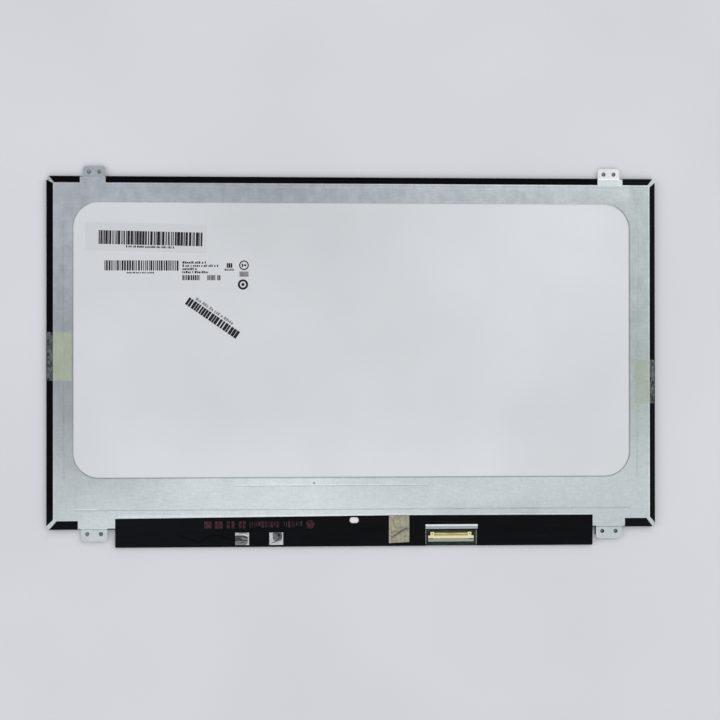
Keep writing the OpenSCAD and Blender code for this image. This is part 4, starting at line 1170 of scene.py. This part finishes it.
class SCREEN_PANEL_OT_socket(PanelStep):
    """Cable socket: cream body, steel cover, and solder round its feet"""

    bl_idname = "screen_panel.socket"
    bl_label = "Cable Socket"

    # Tinned strips on the board along both sides of the window in the cover tape, and their thickness
    STRIPS = ((42.45, 42.95, -110.9, -102.5), (72.5, 73.0, -110.9, -102.5))
    STRIP_THICK = 0.02

    def execute(self, context):
        cream = self.finish.resin
        resin = Finish("cream_resin", cream, 0.42)
        body = resin.mottle(1.5, shade(cream, 0.92), cream)
        # The floor between the bar and the rear wall lies in the shade of the contacts
        floor = resin.times(resin.inside("Z", BOARD_BACK - 0.1, BOARD_BACK + 0.8), 0.42)
        resin.color(resin.shaded(body, floor))
        resin.bump(resin.noise(0.2), 0.004)
        dress(resin, "socket_housing", "light_bar_socket")

        steel = self.finish.shell
        shell = Finish("socket_steel", steel, 0.36, metallic=1.0)
        grain = shell.noise(0.25, 3.0, stretch=(8.0, 1.0, 1.0))
        shell.color(shell.ramp(grain, (0.3, shade(steel, 0.85)), (0.7, steel)))
        shell.bump(grain, 0.004)
        dress(shell, "socket_shell")

        # Gold plating, painted darker olive for the shade that the contacts lie in
        gold_in_shade = (0.52, 0.46, 0.22)
        low, high = shade(gold_in_shade, 0.5), shade(gold_in_shade, 1.2)
        clouded("contact_plating", 0.35, 1.2, low, high, ("socket_contacts",), 2.0, metallic=1.0)

        low, high = (0.16, 0.18, 0.18), (0.34, 0.37, 0.37)
        solder = clouded("solder_strip", 0.5, 0.8, low, high, metallic=1.0)
        shape = plates(self.STRIPS, BOARD_BACK, self.STRIP_THICK)
        piece("board_solder_strips", *shape, solder, "socket_steel")
        return {"FINISHED"}


class SCREEN_PANEL_OT_light_bar(PanelStep):
    """White film of the light bar and its emitters"""

    bl_idname = "screen_panel.light_bar"
    bl_label = "Light Bar"

    def execute(self, context):
        clouded(
            "white_circuit_film", 0.45, 2.0, (0.74, 0.74, 0.72), (0.80, 0.80, 0.78),
            ("light_bar",), relief=(0.6, 3.0, 0.006),
        )
        clouded("emitter_resin", 0.35, 1.0, (0.78, 0.74, 0.36), (0.85, 0.82, 0.5), ("light_emitters",))
        return {"FINISHED"}


STEPS = (
    SCREEN_PANEL_OT_stage,
    SCREEN_PANEL_OT_back_plate,
    SCREEN_PANEL_OT_sheets,
    SCREEN_PANEL_OT_edge_tapes,
    SCREEN_PANEL_OT_side_tapes,
    SCREEN_PANEL_OT_cover_patch,
    SCREEN_PANEL_OT_foil_pads,
    SCREEN_PANEL_OT_labels,
    SCREEN_PANEL_OT_cover_print,
    SCREEN_PANEL_OT_board,
    SCREEN_PANEL_OT_socket,
    SCREEN_PANEL_OT_light_bar,
)


class SCREEN_PANEL_PT_sidebar(Panel):
    """Lists the steps that finish the screen panel"""

    bl_label = "Screen Panel"
    bl_idname = "SCREEN_PANEL_PT_sidebar"
    bl_space_type = "VIEW_3D"
    bl_region_type = "UI"
    bl_category = "Screen Panel"

    def draw(self, context):
        for group in (context.scene.screen_panel_finish, context.scene.screen_panel_sizes):
            box = self.layout.box()
            for key in group.__annotations__:
                box.prop(group, key)
        for step in STEPS:
            self.layout.operator(step.bl_idname)


CLASSES = (ScreenPanelFinish, ScreenPanelSizes, *STEPS, SCREEN_PANEL_PT_sidebar)


def register():
    for cls in CLASSES:
        bpy.utils.register_class(cls)
    bpy.types.Scene.screen_panel_finish = PointerProperty(type=ScreenPanelFinish)
    bpy.types.Scene.screen_panel_sizes = PointerProperty(type=ScreenPanelSizes)


def unregister():
    del bpy.types.Scene.screen_panel_sizes
    del bpy.types.Scene.screen_panel_finish
    for cls in reversed(CLASSES):
        bpy.utils.unregister_class(cls)


def main():
    register()
    for step in STEPS:
        group, name = step.bl_idname.split(".")
        getattr(getattr(bpy.ops, group), name)()


if __name__ == "__main__":
    main()
